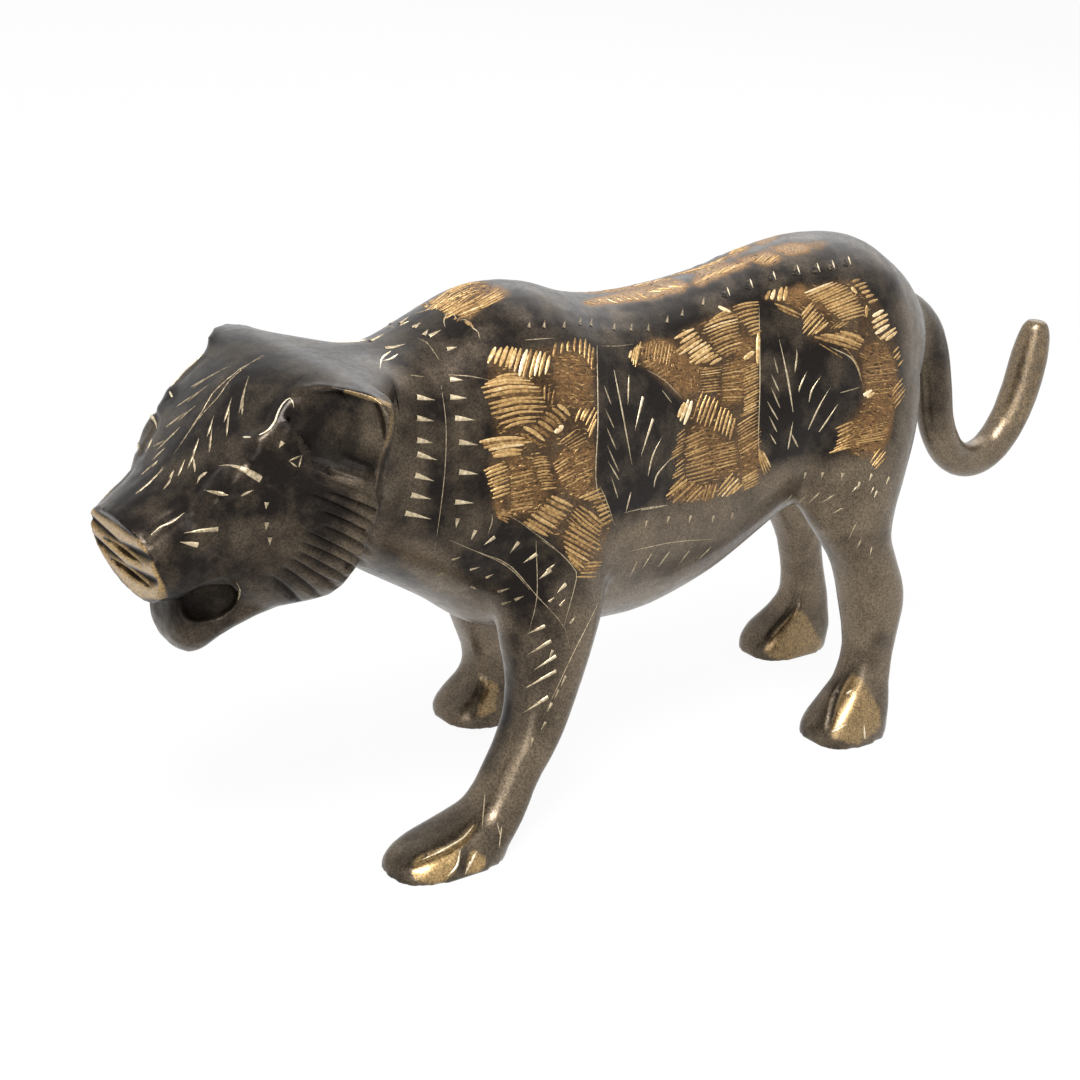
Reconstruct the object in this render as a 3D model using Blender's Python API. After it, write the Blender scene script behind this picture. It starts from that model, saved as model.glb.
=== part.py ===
"""Cast leopard figurine: a walking leopard with its head low and its tail curled up behind.

The figurine is one solid brass casting. It faces -X with its left side towards -Y, and
it stands on z = 0 with the origin under the middle of its box. Torso, head, jaw, legs and
tail are lofted as separate closed forms, fused into one skin, faired, and then filed and
cut as the real casting is: flat soles, a flat muzzle, an open mouth and chiselled fur.
"""

import math

import bmesh
import bpy
import numpy as np
from mathutils import Matrix, Vector
from mathutils.bvhtree import BVHTree

MM = 0.001

# Torso, from the neck to the end of the rump
NECK_TOP = 74.3 * MM
WITHERS_TOP = 80.9 * MM
SADDLE_TOP = 78.4 * MM
CROUP_TOP = 84.0 * MM
THROAT_UNDER = 45.5 * MM
BRISKET_UNDER = 25.2 * MM
FLANK_UNDER = 44 * MM
NECK_WIDTH = 27 * MM
SHOULDER_WIDTH = 35 * MM
WAIST_WIDTH = 31 * MM

# Head
MUZZLE_WIDTH = 18.4 * MM
MUZZLE_FACE_X = -76 * MM
MUZZLE_FACE_Z = 48.8 * MM
MUZZLE_FACE_HEIGHT = 13.2 * MM
MUZZLE_FACE_PITCH = 18
CHIN_X = -67.2 * MM
CHIN_UNDER = 33.6 * MM
JAW_WIDTH = 11 * MM

# Skin
VOXEL = 0.55 * MM
FAIRING_PASSES = 6
FILLET_PASSES = 160
SKIN_TRIANGLES = 8600
RINGS_PER_SPAN = 6

# Chiselled details
FURROW_WIDTH = 1.3 * MM
FURROW_DEPTH = 0.55 * MM
FURROW_LIP = 0.5 * MM
HEAD_REACH = 40 * MM
NOSE_GROOVE_HEIGHT = 1.5 * MM
NOSE_GROOVE_DEPTH = 0.8 * MM

BRASS_DARK = (0.035, 0.028, 0.022)


def clear_scene():
    """Empty the scene of its objects."""
    for thing in list(bpy.data.objects):
        bpy.data.objects.remove(thing)


def spline(points, count, closed=False):
    """Return points on a smooth curve through the given ones, `count` to each span."""
    points = [Vector(p) for p in points]
    total = len(points)
    spans = total if closed else total - 1

    def at(index):
        if closed:
            return points[index % total]
        if index < 0:
            return points[0] * 2 - points[1]
        if index >= total:
            return points[-1] * 2 - points[-2]
        return points[index]

    curve = []
    for span in range(spans):
        a, b, c, d = (at(span + k) for k in (-1, 0, 1, 2))
        for step in range(count):
            t = step / count
            curve.append(
                0.5
                * (
                    2 * b
                    + (c - a) * t
                    + (2 * a - 5 * b + 4 * c - d) * t * t
                    + (3 * b - a - 3 * c + d) * t * t * t
                )
            )
    if not closed:
        curve.append(points[-1])
    return curve


def loft(name, rings, per_span=RINGS_PER_SPAN):
    """Skin control rings with the same number of points, and close both ends."""
    columns = [spline(column, per_span) for column in zip(*rings)]
    shape = bmesh.new()
    loops = []
    for ring in zip(*columns):
        points = [shape.verts.new(p) for p in ring]
        loops.append([shape.edges.new(pair) for pair in zip(points, points[1:] + points[:1])])
    for near, far in zip(loops, loops[1:]):
        bmesh.ops.bridge_loops(shape, edges=near + far)
    for end in (loops[0], loops[-1]):
        bmesh.ops.contextual_create(shape, geom=end)
    bmesh.ops.recalc_face_normals(shape, faces=shape.faces)
    mesh = bpy.data.meshes.new(name)
    shape.to_mesh(mesh)
    shape.free()
    thing = bpy.data.objects.new(name, mesh)
    bpy.context.collection.objects.link(thing)
    return thing


def superellipse(half_a, half_b, squareness, count=48):
    """Return (a, b) points round a superellipse: squareness 2 is an ellipse, more is boxier."""
    points = []
    for step in range(count):
        angle = math.tau * step / count
        c, s = math.cos(angle), math.sin(angle)
        points.append(
            (
                half_a * math.copysign(abs(c) ** (2 / squareness), c),
                half_b * math.copysign(abs(s) ** (2 / squareness), s),
            )
        )
    return points


def torso():
    """Barrel of the body: upright sections from inside the neck to the end of the rump."""
    # place along the body, top, underside, width
    sections = (
        (-46 * MM, NECK_TOP, THROAT_UNDER, NECK_WIDTH),
        (-40 * MM, NECK_TOP - 0.5 * MM, THROAT_UNDER - 4.2 * MM, NECK_WIDTH + 1.5 * MM),
        (-34 * MM, NECK_TOP + 0.5 * MM, THROAT_UNDER - 7.6 * MM, NECK_WIDTH + 3.5 * MM),
        (-27 * MM, WITHERS_TOP - 3 * MM, BRISKET_UNDER + 8.7 * MM, SHOULDER_WIDTH - 2 * MM),
        (-20 * MM, WITHERS_TOP - 0.1 * MM, BRISKET_UNDER + 4.1 * MM, SHOULDER_WIDTH - 0.5 * MM),
        (-12 * MM, WITHERS_TOP, BRISKET_UNDER + 1.1 * MM, SHOULDER_WIDTH),
        (-4 * MM, SADDLE_TOP + 0.3 * MM, BRISKET_UNDER, SHOULDER_WIDTH - 1 * MM),
        (4 * MM, SADDLE_TOP - 0.6 * MM, BRISKET_UNDER - 0.3 * MM, WAIST_WIDTH + 1.5 * MM),
        (14 * MM, SADDLE_TOP, BRISKET_UNDER - 0.2 * MM, WAIST_WIDTH),
        (26 * MM, SADDLE_TOP + 1.8 * MM, FLANK_UNDER - 15.6 * MM, WAIST_WIDTH - 0.5 * MM),
        (36 * MM, CROUP_TOP - 1.3 * MM, FLANK_UNDER - 10 * MM, WAIST_WIDTH),
        (46 * MM, CROUP_TOP + 0.3 * MM, FLANK_UNDER - 4 * MM, WAIST_WIDTH + 0.5 * MM),
        (56 * MM, CROUP_TOP - 0.1 * MM, FLANK_UNDER, WAIST_WIDTH),
        (62 * MM, CROUP_TOP - 2.8 * MM, FLANK_UNDER + 2.5 * MM, WAIST_WIDTH - 3 * MM),
        (67 * MM, CROUP_TOP - 6 * MM, FLANK_UNDER + 6 * MM, WAIST_WIDTH - 8 * MM),
        (71 * MM, CROUP_TOP - 10 * MM, FLANK_UNDER + 10 * MM, WAIST_WIDTH - 14 * MM),
        (74 * MM, CROUP_TOP - 14 * MM, FLANK_UNDER + 15 * MM, WAIST_WIDTH - 21 * MM),
    )
    rings = []
    for x, top, under, width in sections:
        middle = (top + under) / 2
        outline = superellipse(width / 2, (top - under) / 2, 2.1)
        rings.append([(x, y, middle + z) for y, z in outline])
    return loft("torso", rings)


# Head sections from inside the neck to the nose: top and underside in the middle plane
# (x, z), then the outline of one half as (distance out, share of the way down).
HEAD_SECTIONS = (
    (
        (-43, 70.0),
        (-43, 47.0),
        ((4, 0.0), (8, 0.04), (11, 0.18), (12, 0.4),
         (11, 0.62), (8.5, 0.82), (5, 0.93), (2.5, 0.98)),
    ),
    (
        (-48.3, 73.6),
        (-48.4, 42.6),
        ((8, 0.0), (15, 0.01), (19.6, 0.055), (19.6, 0.26),
         (18.7, 0.48), (16.7, 0.67), (13, 0.85), (8, 0.97)),
    ),
    (
        (-49.6, 74.2),
        (-50, 40.6),
        ((8, 0.0), (15.5, 0.01), (21.0, 0.06), (20.8, 0.26),
         (19.7, 0.48), (17.8, 0.66), (14.1, 0.84), (9, 0.97)),
    ),
    (
        (-52.8, 74.8),
        (-54.5, 39.4),
        ((7.5, 0.0), (13.5, 0.01), (18.0, 0.05), (18.8, 0.26),
         (17.9, 0.48), (15.9, 0.67), (12.4, 0.84), (7.5, 0.965)),
    ),
    (
        (-56.6, 73.8),
        (-59.5, 38.8),
        ((6, 0.0), (10.5, 0.01), (14.0, 0.04), (15.3, 0.24),
         (14.9, 0.48), (13.2, 0.68), (10, 0.85), (6, 0.965)),
    ),
    (
        (-60.9, 71.5),
        (-63, 39.8),
        ((5, 0.02), (9.5, 0.05), (12.9, 0.10), (13.5, 0.27),
         (12.9, 0.48), (11.2, 0.68), (8.8, 0.85), (5, 0.965)),
    ),
    (
        (-64.9, 67.2),
        (-65.4, 40.6),
        ((4.5, 0.02), (9, 0.06), (12.4, 0.10), (12.4, 0.26),
         (11.4, 0.46), (10, 0.66), (7.8, 0.84), (4.5, 0.965)),
    ),
    (
        (-68.5, 62.6),
        (-67.2, 41.4),
        ((4, 0.02), (8, 0.06), (11.2, 0.12), (10.8, 0.3),
         (9.8, 0.5), (8.8, 0.68), (7, 0.85), (4, 0.97)),
    ),
    (
        (-71.6, 59.2),
        (-68.8, 42.0),
        ((3.4, 0.02), (6.4, 0.07), (8.8, 0.18), (9.5, 0.38),
         (9.2, 0.56), (8.3, 0.72), (6.6, 0.87), (3.8, 0.975)),
    ),
    (
        (-75.2, 56.8),
        (-70.6, 42.4),
        ((3, 0.02), (5.8, 0.08), (8.1, 0.2), (9.4, 0.4),
         (9.4, 0.6), (8.1, 0.78), (5.8, 0.9), (3, 0.98)),
    ),
)


def head():
    """Mask-like head: broad at the ears, with a flat rim behind, narrowing to the muzzle."""
    rings = []
    for top, under, half in HEAD_SECTIONS:
        half = [(y * MM, share) for y, share in half]
        rings.append(head_ring(Vector(top) * MM, Vector(under) * MM, half))
    centre = Vector((MUZZLE_FACE_X, MUZZLE_FACE_Z))
    pitch = math.radians(MUZZLE_FACE_PITCH)
    face_up = Vector((-math.sin(pitch), math.cos(pitch))) * MUZZLE_FACE_HEIGHT / 2
    ahead = Vector((-math.cos(pitch), -math.sin(pitch)))
    oval = []
    for share in (0.03, 0.1, 0.22, 0.4, 0.6, 0.78, 0.9, 0.97):
        oval.append((MUZZLE_WIDTH * math.sqrt(share * (1 - share)), share))
    for reach in (0.0, 3 * MM):
        top = centre + face_up + ahead * reach
        under = centre - face_up + ahead * reach
        rings.append(head_ring(top, under, oval))
    return loft("head", rings)


def head_ring(top, under, half):
    """Return a closed ring from a half outline, mirrored across the middle plane."""

    def point(y, share):
        middle = top.lerp(under, share)
        return Vector((middle.x, y, middle.y))

    right = [point(y, share) for y, share in half]
    left = [point(-y, share) for y, share in reversed(half)]
    ring = [point(0, 0)] + right + [point(0, 1)] + left
    return spline(ring, 3, closed=True)


def jaw():
    """Lower jaw: a spoon-shaped chin that hangs behind the muzzle face."""
    half = JAW_WIDTH / 2
    # distance behind the chin point, top and underside above the chin point, half width
    sections = (
        (-3.2 * MM, 9 * MM, 4.6 * MM, half * 0.5),
        (-2.6 * MM, 10 * MM, 2.4 * MM, half * 0.8),
        (-1.2 * MM, 11 * MM, 0.6 * MM, half),
        (1 * MM, 12 * MM, 0, half * 1.05),
        (4 * MM, 12 * MM, 2.2 * MM, half * 1.2),
        (8 * MM, 13 * MM, 4.2 * MM, half * 1.4),
        (13 * MM, 14 * MM, 5.8 * MM, half * 1.5),
        (18 * MM, 16 * MM, 8 * MM, half * 1.4),
    )
    rings = []
    for back, top, under, width in sections:
        middle = CHIN_UNDER + (top + under) / 2
        outline = superellipse(width, (top - under) / 2, 2.3)
        rings.append([(CHIN_X + back, y, middle + z) for y, z in outline])
    return loft("jaw", rings)


# Legs as level sections: height, place along the body, distance out from the middle plane,
# half length, half width, and how boxy the section is.
LEGS = {
    "front_left": (
        -1,
        (
            (58, -15, 6.0, 9.0, 8.0, 2.0),
            (50, -14.5, 9.0, 10.5, 8.0, 2.0),
            (42, -13.2, 10.6, 10.8, 7.6, 2.0),
            (35, -12.2, 12.4, 9.4, 6.6, 2.1),
            (29, -12.9, 13.8, 7.6, 5.6, 2.3),
            (24, -13.8, 14.9, 5.9, 4.9, 2.6),
            (19, -15.3, 15.8, 4.8, 4.5, 2.8),
            (15, -17.3, 16.5, 4.5, 4.3, 3.0),
            (11.5, -19.9, 17.1, 4.2, 4.2, 3.0),
            (8.5, -22.0, 17.6, 4.1, 4.3, 3.0),
            (6.2, -24.0, 18.0, 4.7, 4.6, 3.0),
            (4.4, -27.6, 18.3, 7.2, 5.2, 2.8),
            (2.8, -31.2, 18.6, 9.5, 5.8, 2.6),
            (1.0, -32.9, 18.8, 9.9, 6.0, 2.6),
            (-2.5, -32.9, 18.8, 9.8, 5.9, 2.6),
        ),
    ),
    "front_right": (
        1,
        (
            (58, -15, 6.0, 9.0, 8.0, 2.0),
            (50, -13.8, 9.0, 10.4, 7.8, 2.0),
            (42, -11.5, 11.4, 9.4, 7.0, 2.1),
            (34, -8.6, 13.6, 7.4, 5.8, 2.2),
            (27, -5.2, 15.8, 5.8, 4.9, 2.4),
            (21, -2.0, 17.6, 4.9, 4.3, 2.6),
            (16, 0.6, 18.7, 4.5, 4.0, 2.8),
            (12, 2.5, 19.4, 4.1, 3.8, 3.0),
            (9, 3.3, 19.6, 4.2, 3.9, 3.0),
            (6.6, 3.3, 19.4, 5.0, 4.6, 3.0),
            (4.4, 2.8, 19.2, 6.9, 5.6, 2.8),
            (2.4, 2.2, 19.1, 8.1, 6.3, 2.6),
            (1.0, 2.0, 19.0, 8.3, 6.6, 2.6),
            (-2.5, 2.0, 19.0, 8.2, 6.5, 2.6),
        ),
    ),
    "hind_left": (
        -1,
        (
            (70, 56.0, 4.0, 12.0, 7.5, 2.0),
            (62, 55.0, 7.5, 13.5, 8.2, 2.0),
            (54, 53.3, 10.2, 13.4, 7.9, 2.0),
            (46, 51.9, 12.2, 11.4, 7.0, 2.1),
            (40, 51.4, 13.6, 9.2, 6.2, 2.1),
            (35.5, 52.5, 14.6, 6.9, 5.6, 2.2),
            (31, 54.9, 15.5, 6.0, 5.2, 2.4),
            (27, 56.6, 16.0, 5.9, 5.2, 2.5),
            (23.5, 57.4, 16.3, 5.6, 5.0, 2.6),
            (20, 57.5, 16.8, 4.9, 4.5, 2.7),
            (16, 57.5, 17.2, 4.3, 4.0, 2.8),
            (12.6, 57.1, 17.5, 4.2, 3.9, 3.0),
            (9.1, 56.3, 17.8, 4.8, 4.2, 3.0),
            (5.8, 54.8, 18.0, 6.4, 5.0, 3.0),
            (3.0, 53.4, 18.2, 7.5, 5.7, 2.8),
            (1.0, 53.1, 18.2, 7.7, 5.9, 2.8),
            (-2.5, 53.1, 18.2, 7.6, 5.8, 2.8),
        ),
    ),
    "hind_right": (
        1,
        (
            (70, 56.0, 4.0, 12.0, 7.5, 2.0),
            (62, 55.0, 7.5, 13.5, 8.2, 2.0),
            (54, 55.0, 9.8, 13.0, 7.4, 2.0),
            (46, 56.5, 10.8, 11.4, 6.5, 2.1),
            (40, 59.0, 11.4, 9.2, 5.7, 2.1),
            (34, 62.8, 11.9, 6.8, 4.9, 2.2),
            (28, 66.8, 12.3, 5.0, 4.2, 2.4),
            (23, 69.4, 12.5, 4.2, 3.8, 2.5),
            (18, 71.4, 12.8, 4.0, 3.6, 2.6),
            (14, 72.9, 13.1, 4.1, 3.7, 2.8),
            (11, 73.7, 13.3, 4.5, 3.9, 3.0),
            (8.6, 73.4, 13.5, 5.5, 4.3, 3.0),
            (6.6, 72.6, 13.7, 6.9, 4.8, 3.0),
            (4.6, 71.6, 13.9, 8.5, 5.5, 2.8),
            (2.6, 70.9, 14.0, 9.3, 5.8, 2.6),
            (1.0, 70.7, 14.0, 9.2, 5.9, 2.6),
            (-2.5, 70.7, 14.0, 9.0, 5.8, 2.6),
        ),
    ),
}


def leg(name, side, sections):
    """One leg, lofted from its level sections on the left (-1) or right (1) side."""
    rings = []
    for height, x, out, half_length, half_width, squareness in sections:
        outline = superellipse(half_length * MM, half_width * MM, squareness)
        rings.append([(x * MM + a, side * out * MM + b, height * MM) for a, b in outline])
    return loft(name, rings)


# Middle line of the tail: place along the body, height, thickness from the middle.
TAIL_ROUTE = (
    (66, 71.5, 4.6),
    (71, 69.6, 4.4),
    (75.5, 68.0, 4.1),
    (79.6, 65.0, 3.9),
    (82.9, 60.5, 3.6),
    (85.5, 54.0, 3.5),
    (88.1, 46.8, 3.4),
    (92.8, 40.8, 3.3),
    (98.8, 38.2, 3.3),
    (104.8, 39.6, 3.4),
    (109.2, 44.5, 3.5),
    (111.6, 51.0, 3.6),
    (112.6, 57.5, 3.5),
    (113.0, 62.0, 2.8),
    (113.2, 64.0, 1.8),
)


def tail():
    """Tail: drops from the croup, turns up in a tight bend and ends in a blunt tip."""
    curve = bpy.data.curves.new("tail", "CURVE")
    curve.dimensions = "3D"
    curve.bevel_depth = 1.0
    curve.bevel_resolution = 6
    curve.use_fill_caps = True
    points = spline([Vector(stop) * MM for stop in TAIL_ROUTE], 6)
    path = curve.splines.new("POLY")
    path.points.add(len(points) - 1)
    for control, (x, z, radius) in zip(path.points, points):
        control.co = (x, 0, z, 1)
        control.radius = radius
    thing = bpy.data.objects.new("tail", curve)
    bpy.context.collection.objects.link(thing)
    return thing


def evaluated(thing):
    """Return a new mesh of an object as its modifiers leave it."""
    bpy.context.view_layer.update()
    graph = bpy.context.evaluated_depsgraph_get()
    return bpy.data.meshes.new_from_object(thing.evaluated_get(graph))


def bake(thing):
    """Apply an object's modifiers."""
    mesh = evaluated(thing)
    thing.modifiers.clear()
    thing.data = mesh


def fuse(name, pieces):
    """Fuse overlapping closed forms into one faired skin."""
    shape = bmesh.new()
    for piece in pieces:
        mesh = evaluated(piece)
        mesh.transform(piece.matrix_world)
        shape.from_mesh(mesh)
        bpy.data.objects.remove(piece)
    mesh = bpy.data.meshes.new(name)
    shape.to_mesh(mesh)
    shape.free()
    skin = bpy.data.objects.new(name, mesh)
    bpy.context.collection.objects.link(skin)
    remesh = skin.modifiers.new("fuse", "REMESH")
    remesh.mode = "VOXEL"
    remesh.voxel_size = VOXEL
    fair = skin.modifiers.new("fair", "SMOOTH")
    fair.factor = 0.5
    fair.iterations = FAIRING_PASSES
    bake(skin)
    return skin


# Where wax fills the corner between two forms: place in mm, reach in mm.
FILLETS = (
    ((-13, -17, 49), 17),
    ((-12, 17, 48), 17),
    ((52, -15, 52), 19),
    ((56, 14, 52), 19),
    ((70, 0, 70), 9),
)


def fill_corners(skin):
    """Fill the hollow corners where the legs and the tail leave the body, as wax would.

    A corner of the mesh moves outwards to the mean of its neighbours, never inwards.
    """
    mesh = skin.data
    total = len(mesh.vertices)
    flat = np.empty(total * 3)
    mesh.vertices.foreach_get("co", flat)
    places = flat.reshape(-1, 3)
    pairs = np.empty(len(mesh.edges) * 2, dtype=np.int32)
    mesh.edges.foreach_get("vertices", pairs)
    near, far = pairs.reshape(-1, 2).T
    neighbours = np.bincount(pairs, minlength=total)
    share = np.zeros(total)
    for centre, reach in FILLETS:
        away = np.linalg.norm(places - np.array(centre) * MM, axis=1) / (reach * MM)
        share = np.maximum(share, np.clip(2 - 2 * away, 0, 1))
    outward = np.empty(total * 3)
    for _ in range(FILLET_PASSES):
        mesh.vertex_normals.foreach_get("vector", outward)
        normals = outward.reshape(-1, 3)
        lift = np.zeros(total)
        for axis in range(3):
            along = places[:, axis]
            sums = np.bincount(near, along[far], total) + np.bincount(far, along[near], total)
            lift += (sums / neighbours - along) * normals[:, axis]
        places += normals * (np.clip(lift, 0, None) * share)[:, None]
        mesh.vertices.foreach_set("co", places.ravel())
        mesh.update()


def thin_out(skin, triangles):
    """Reduce the skin to about the given number of triangles."""
    faces = sum(len(p.vertices) - 2 for p in skin.data.polygons)
    decimate = skin.modifiers.new("thin", "DECIMATE")
    decimate.ratio = min(1.0, triangles / faces)
    decimate.use_collapse_triangulate = True
    bake(skin)


def block(name, size, place, turn=None):
    """Return a box cutter of the given size, centred on a place."""
    shape = bmesh.new()
    bmesh.ops.create_cube(shape, size=1)
    bmesh.ops.scale(shape, vec=size, verts=shape.verts)
    if turn is not None:
        bmesh.ops.rotate(shape, matrix=turn, verts=shape.verts)
    bmesh.ops.translate(shape, vec=place, verts=shape.verts)
    mesh = bpy.data.meshes.new(name)
    shape.to_mesh(mesh)
    shape.free()
    thing = bpy.data.objects.new(name, mesh)
    bpy.context.collection.objects.link(thing)
    return thing


def pocket(name, place, outward, outlines):
    """Return a cutter for a hollow: rounded outlines stacked from outside the skin inwards.

    Each outline is (depth below the place, half length, half height, how boxy).
    """
    outward = Vector(outward).normalized()
    along = Vector((0, 0, 1)).cross(outward).normalized()
    up = outward.cross(along)
    rings = []
    for depth, half_length, half_height, squareness in outlines:
        centre = Vector(place) * MM - outward * depth * MM
        outline = superellipse(half_length * MM, half_height * MM, squareness, 20)
        rings.append([centre + along * a + up * b for a, b in outline])
    return loft(name, rings, 2)


def furrow(name, tree, side, start, end):
    """Return a V-shaped cutter for a furrow in the side of the head.

    It follows the skin from start to end, both (x, z) in mm as seen from the side.
    """
    start, end = (Vector((x, 0, z)) for x, z in (start, end))
    run = (end - start).normalized()
    rings = []
    for share, swell in ((0, 0.1), (0.15, 0.6), (0.45, 1.0), (0.75, 1.0), (1, 0.9)):
        outside = start.lerp(end, share) * MM + Vector((0, side * HEAD_REACH, 0))
        point, normal, _, _ = tree.ray_cast(outside, Vector((0, -side, 0)))
        depth = FURROW_DEPTH * swell
        spread = FURROW_WIDTH / 2 * swell * (1 + FURROW_LIP / depth)
        across = run.cross(normal).normalized() * spread
        lift = normal * FURROW_LIP
        rings.append([point + across + lift, point - normal * depth, point - across + lift])
    return loft(name, rings, 1)


def cut(skin, cutter):
    """Cut one closed form out of the skin."""
    boolean = skin.modifiers.new(cutter.name, "BOOLEAN")
    boolean.operation = "DIFFERENCE"
    boolean.object = cutter
    boolean.solver = "EXACT"
    bake(skin)
    bpy.data.objects.remove(cutter)


# Furrows of the ruff on each side of the head: start and end as (x, z) from the side.
RUFF_FURROWS = (
    ((-54.0, 61.4), (-49.7, 59.7)),
    ((-57.0, 60.2), (-49.6, 56.9)),
    ((-58.0, 57.8), (-49.6, 54.0)),
    ((-58.4, 54.8), (-49.8, 50.9)),
    ((-58.8, 52.0), (-50.0, 47.8)),
    ((-59.2, 49.4), (-51.0, 45.0)),
    ((-60.2, 46.8), (-53.6, 42.6)),
)


def carve_head(skin):
    """File the nose flat, groove it, and chisel the ears, the mouth and the ruff."""
    pitch = math.radians(MUZZLE_FACE_PITCH)
    ahead = Vector((-math.cos(pitch), 0, -math.sin(pitch)))
    up = Vector((-math.sin(pitch), 0, math.cos(pitch)))
    face = Vector((MUZZLE_FACE_X, 0, MUZZLE_FACE_Z))
    thick = 20 * MM
    turn = Matrix.Rotation(-pitch, 3, "Y")
    cut(skin, block("file", (thick, thick * 1.5, thick * 1.5), face + ahead * thick / 2, turn))
    for rise, half_length in ((0.6, 6.2), (-2.8, 6.6)):
        place = (face + up * rise * MM) / MM
        half_height = NOSE_GROOVE_HEIGHT / 2 / MM
        outlines = (
            (-0.5, half_length, half_height, 1.6),
            (0, half_length, half_height, 1.6),
            (NOSE_GROOVE_DEPTH / MM, half_length * 0.6, half_height * 0.3, 1.6),
        )
        cut(skin, pocket("nose_groove", place, ahead, outlines))
    for side in (-1, 1):
        ear = (
            (-1.0, 6.6, 5.9, 3.0),
            (0.0, 6.3, 5.6, 3.0),
            (1.2, 5.3, 4.7, 2.7),
            (2.0, 3.4, 3.0, 2.3),
            (2.2, 1.2, 1.0, 2.0),
        )
        cut(skin, pocket("ear", (-54.8, side * 16.7, 68.4), (-0.72, side * 0.68, -0.08), ear))
        mouth = (
            (-3.0, 4.9, 3.6, 2.2),
            (0.0, 4.7, 3.4, 2.2),
            (2.0, 4.0, 2.8, 2.2),
            (3.2, 2.4, 1.6, 2.0),
            (3.5, 0.8, 0.5, 2.0),
        )
        cut(skin, pocket("mouth", (-67.0, side * 7.0, 42.6), (-0.1, side, -0.2), mouth))
        tree = BVHTree.FromPolygons(
            [corner.co.copy() for corner in skin.data.vertices],
            [list(face.vertices) for face in skin.data.polygons],
        )
        for start, end in RUFF_FURROWS:
            cut(skin, furrow("furrow", tree, side, start, end))


def dark_brass():
    """Brass under a dark brown lacquer."""
    material = bpy.data.materials.new("lacquered_brass")
    material.use_nodes = True
    shader = material.node_tree.nodes["Principled BSDF"]
    shader.inputs["Base Color"].default_value = (*BRASS_DARK, 1)
    shader.inputs["Metallic"].default_value = 0.8
    shader.inputs["Roughness"].default_value = 0.38
    return material


def to_origin(skin):
    """Move the skin so that the origin is under the middle of its box, on the floor."""
    corners = np.array([corner.co for corner in skin.data.vertices])
    low, high = corners.min(axis=0), corners.max(axis=0)
    offset = Vector((-(low[0] + high[0]) / 2, -(low[1] + high[1]) / 2, -low[2]))
    skin.data.transform(Matrix.Translation(offset))
    return offset


def main():
    """Cast the leopard in one piece, chisel it and set it on its origin."""
    clear_scene()
    pieces = [torso(), head(), jaw(), tail()]
    for name, (side, sections) in LEGS.items():
        pieces.append(leg(name, side, sections))
    skin = fuse("leopard", pieces)
    fill_corners(skin)
    thin_out(skin, SKIN_TRIANGLES)
    cut(skin, block("floor", (0.4, 0.2, 0.02), (0, 0, -0.01)))
    carve_head(skin)
    offset = to_origin(skin)
    skin.data.materials.clear()
    skin.data.materials.append(dark_brass())
    skin.data.shade_smooth()
    skin.data.set_sharp_from_angle(angle=math.radians(40))
    return offset


main()
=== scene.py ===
"""Looks of the cast brass leopard: dark patina, hand-engraved strokes and rubbed brass.

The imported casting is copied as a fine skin, the head finer than the body. The skin is
chased with furrows, lids and creases, and the graver's strokes lie on it as slivers of
brass. Places on the near side are named by the pixel of the photograph at which they
show, and rays from the camera carry them onto the skin. The far side mirrors them.
"""

import logging
import math
import random
from dataclasses import dataclass, field
from enum import Enum

import bmesh
import bpy
import numpy as np
from mathutils import Matrix, Vector
from mathutils.bvhtree import BVHTree

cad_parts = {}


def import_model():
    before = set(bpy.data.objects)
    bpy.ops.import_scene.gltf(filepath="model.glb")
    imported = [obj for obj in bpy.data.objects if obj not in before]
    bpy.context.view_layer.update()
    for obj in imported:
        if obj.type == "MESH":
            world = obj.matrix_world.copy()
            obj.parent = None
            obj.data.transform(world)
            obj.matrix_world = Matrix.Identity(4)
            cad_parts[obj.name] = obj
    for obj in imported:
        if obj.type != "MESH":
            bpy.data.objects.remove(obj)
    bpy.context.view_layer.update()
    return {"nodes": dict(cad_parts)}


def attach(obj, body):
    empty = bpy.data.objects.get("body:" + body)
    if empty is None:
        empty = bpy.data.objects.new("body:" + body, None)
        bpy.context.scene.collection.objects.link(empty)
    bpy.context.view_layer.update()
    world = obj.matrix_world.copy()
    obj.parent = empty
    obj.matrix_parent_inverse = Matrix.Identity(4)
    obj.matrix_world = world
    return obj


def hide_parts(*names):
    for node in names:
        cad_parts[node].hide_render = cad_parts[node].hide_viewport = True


LOG = logging.getLogger("leopard")
MM = 0.001
BODY = "root"
NODE = "leopard"

# The middle plane of the leopard, in the row frame.
MIDDLE_Y = -0.40 * MM

Pixel = tuple[float, float]
Pixels = tuple[Pixel, ...]

# A mark fades where the skin turns away from the camera: squareness at which it starts
# and at which it is full. A field of hatching ends sharply.
EDGE_FACING = (0.0, 0.2)
CHASED_FACING = (0.03, 0.22)
GROUND_FACING = 0.02
# How far a corner moves towards its neighbours in one round of smoothing, where the
# next round moves it back and where none does.
FAIR_STEP = 0.52
SOFTEN_STEP = 0.85
# Depth of a tapered furrow at its ends, as a share of its full depth.
END_DEPTH = 0.2
# Shares of the half width and of the width within which a strip is full.
SOFT_CORE = 0.45
PULL_CORE = 0.12
# Places along the body between which the face ends and the back of the ears starts.
FACE_END = (-66.5 * MM, -64.5 * MM)


def linear(code: str, alpha: float = 1.0) -> tuple[float, float, float, float]:
    """Turn an sRGB hex colour into linear RGBA.

    Args:
        code: Six hex digits, with or without a leading hash.
        alpha: Opacity.

    Returns:
        Linear red, green, blue and alpha.
    """
    digits = code.lstrip("#")
    channels = []
    for place in (0, 2, 4):
        value = int(digits[place : place + 2], 16) / 255
        channels.append(value / 12.92 if value <= 0.04045 else ((value + 0.055) / 1.055) ** 2.4)
    return (channels[0], channels[1], channels[2], alpha)


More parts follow.
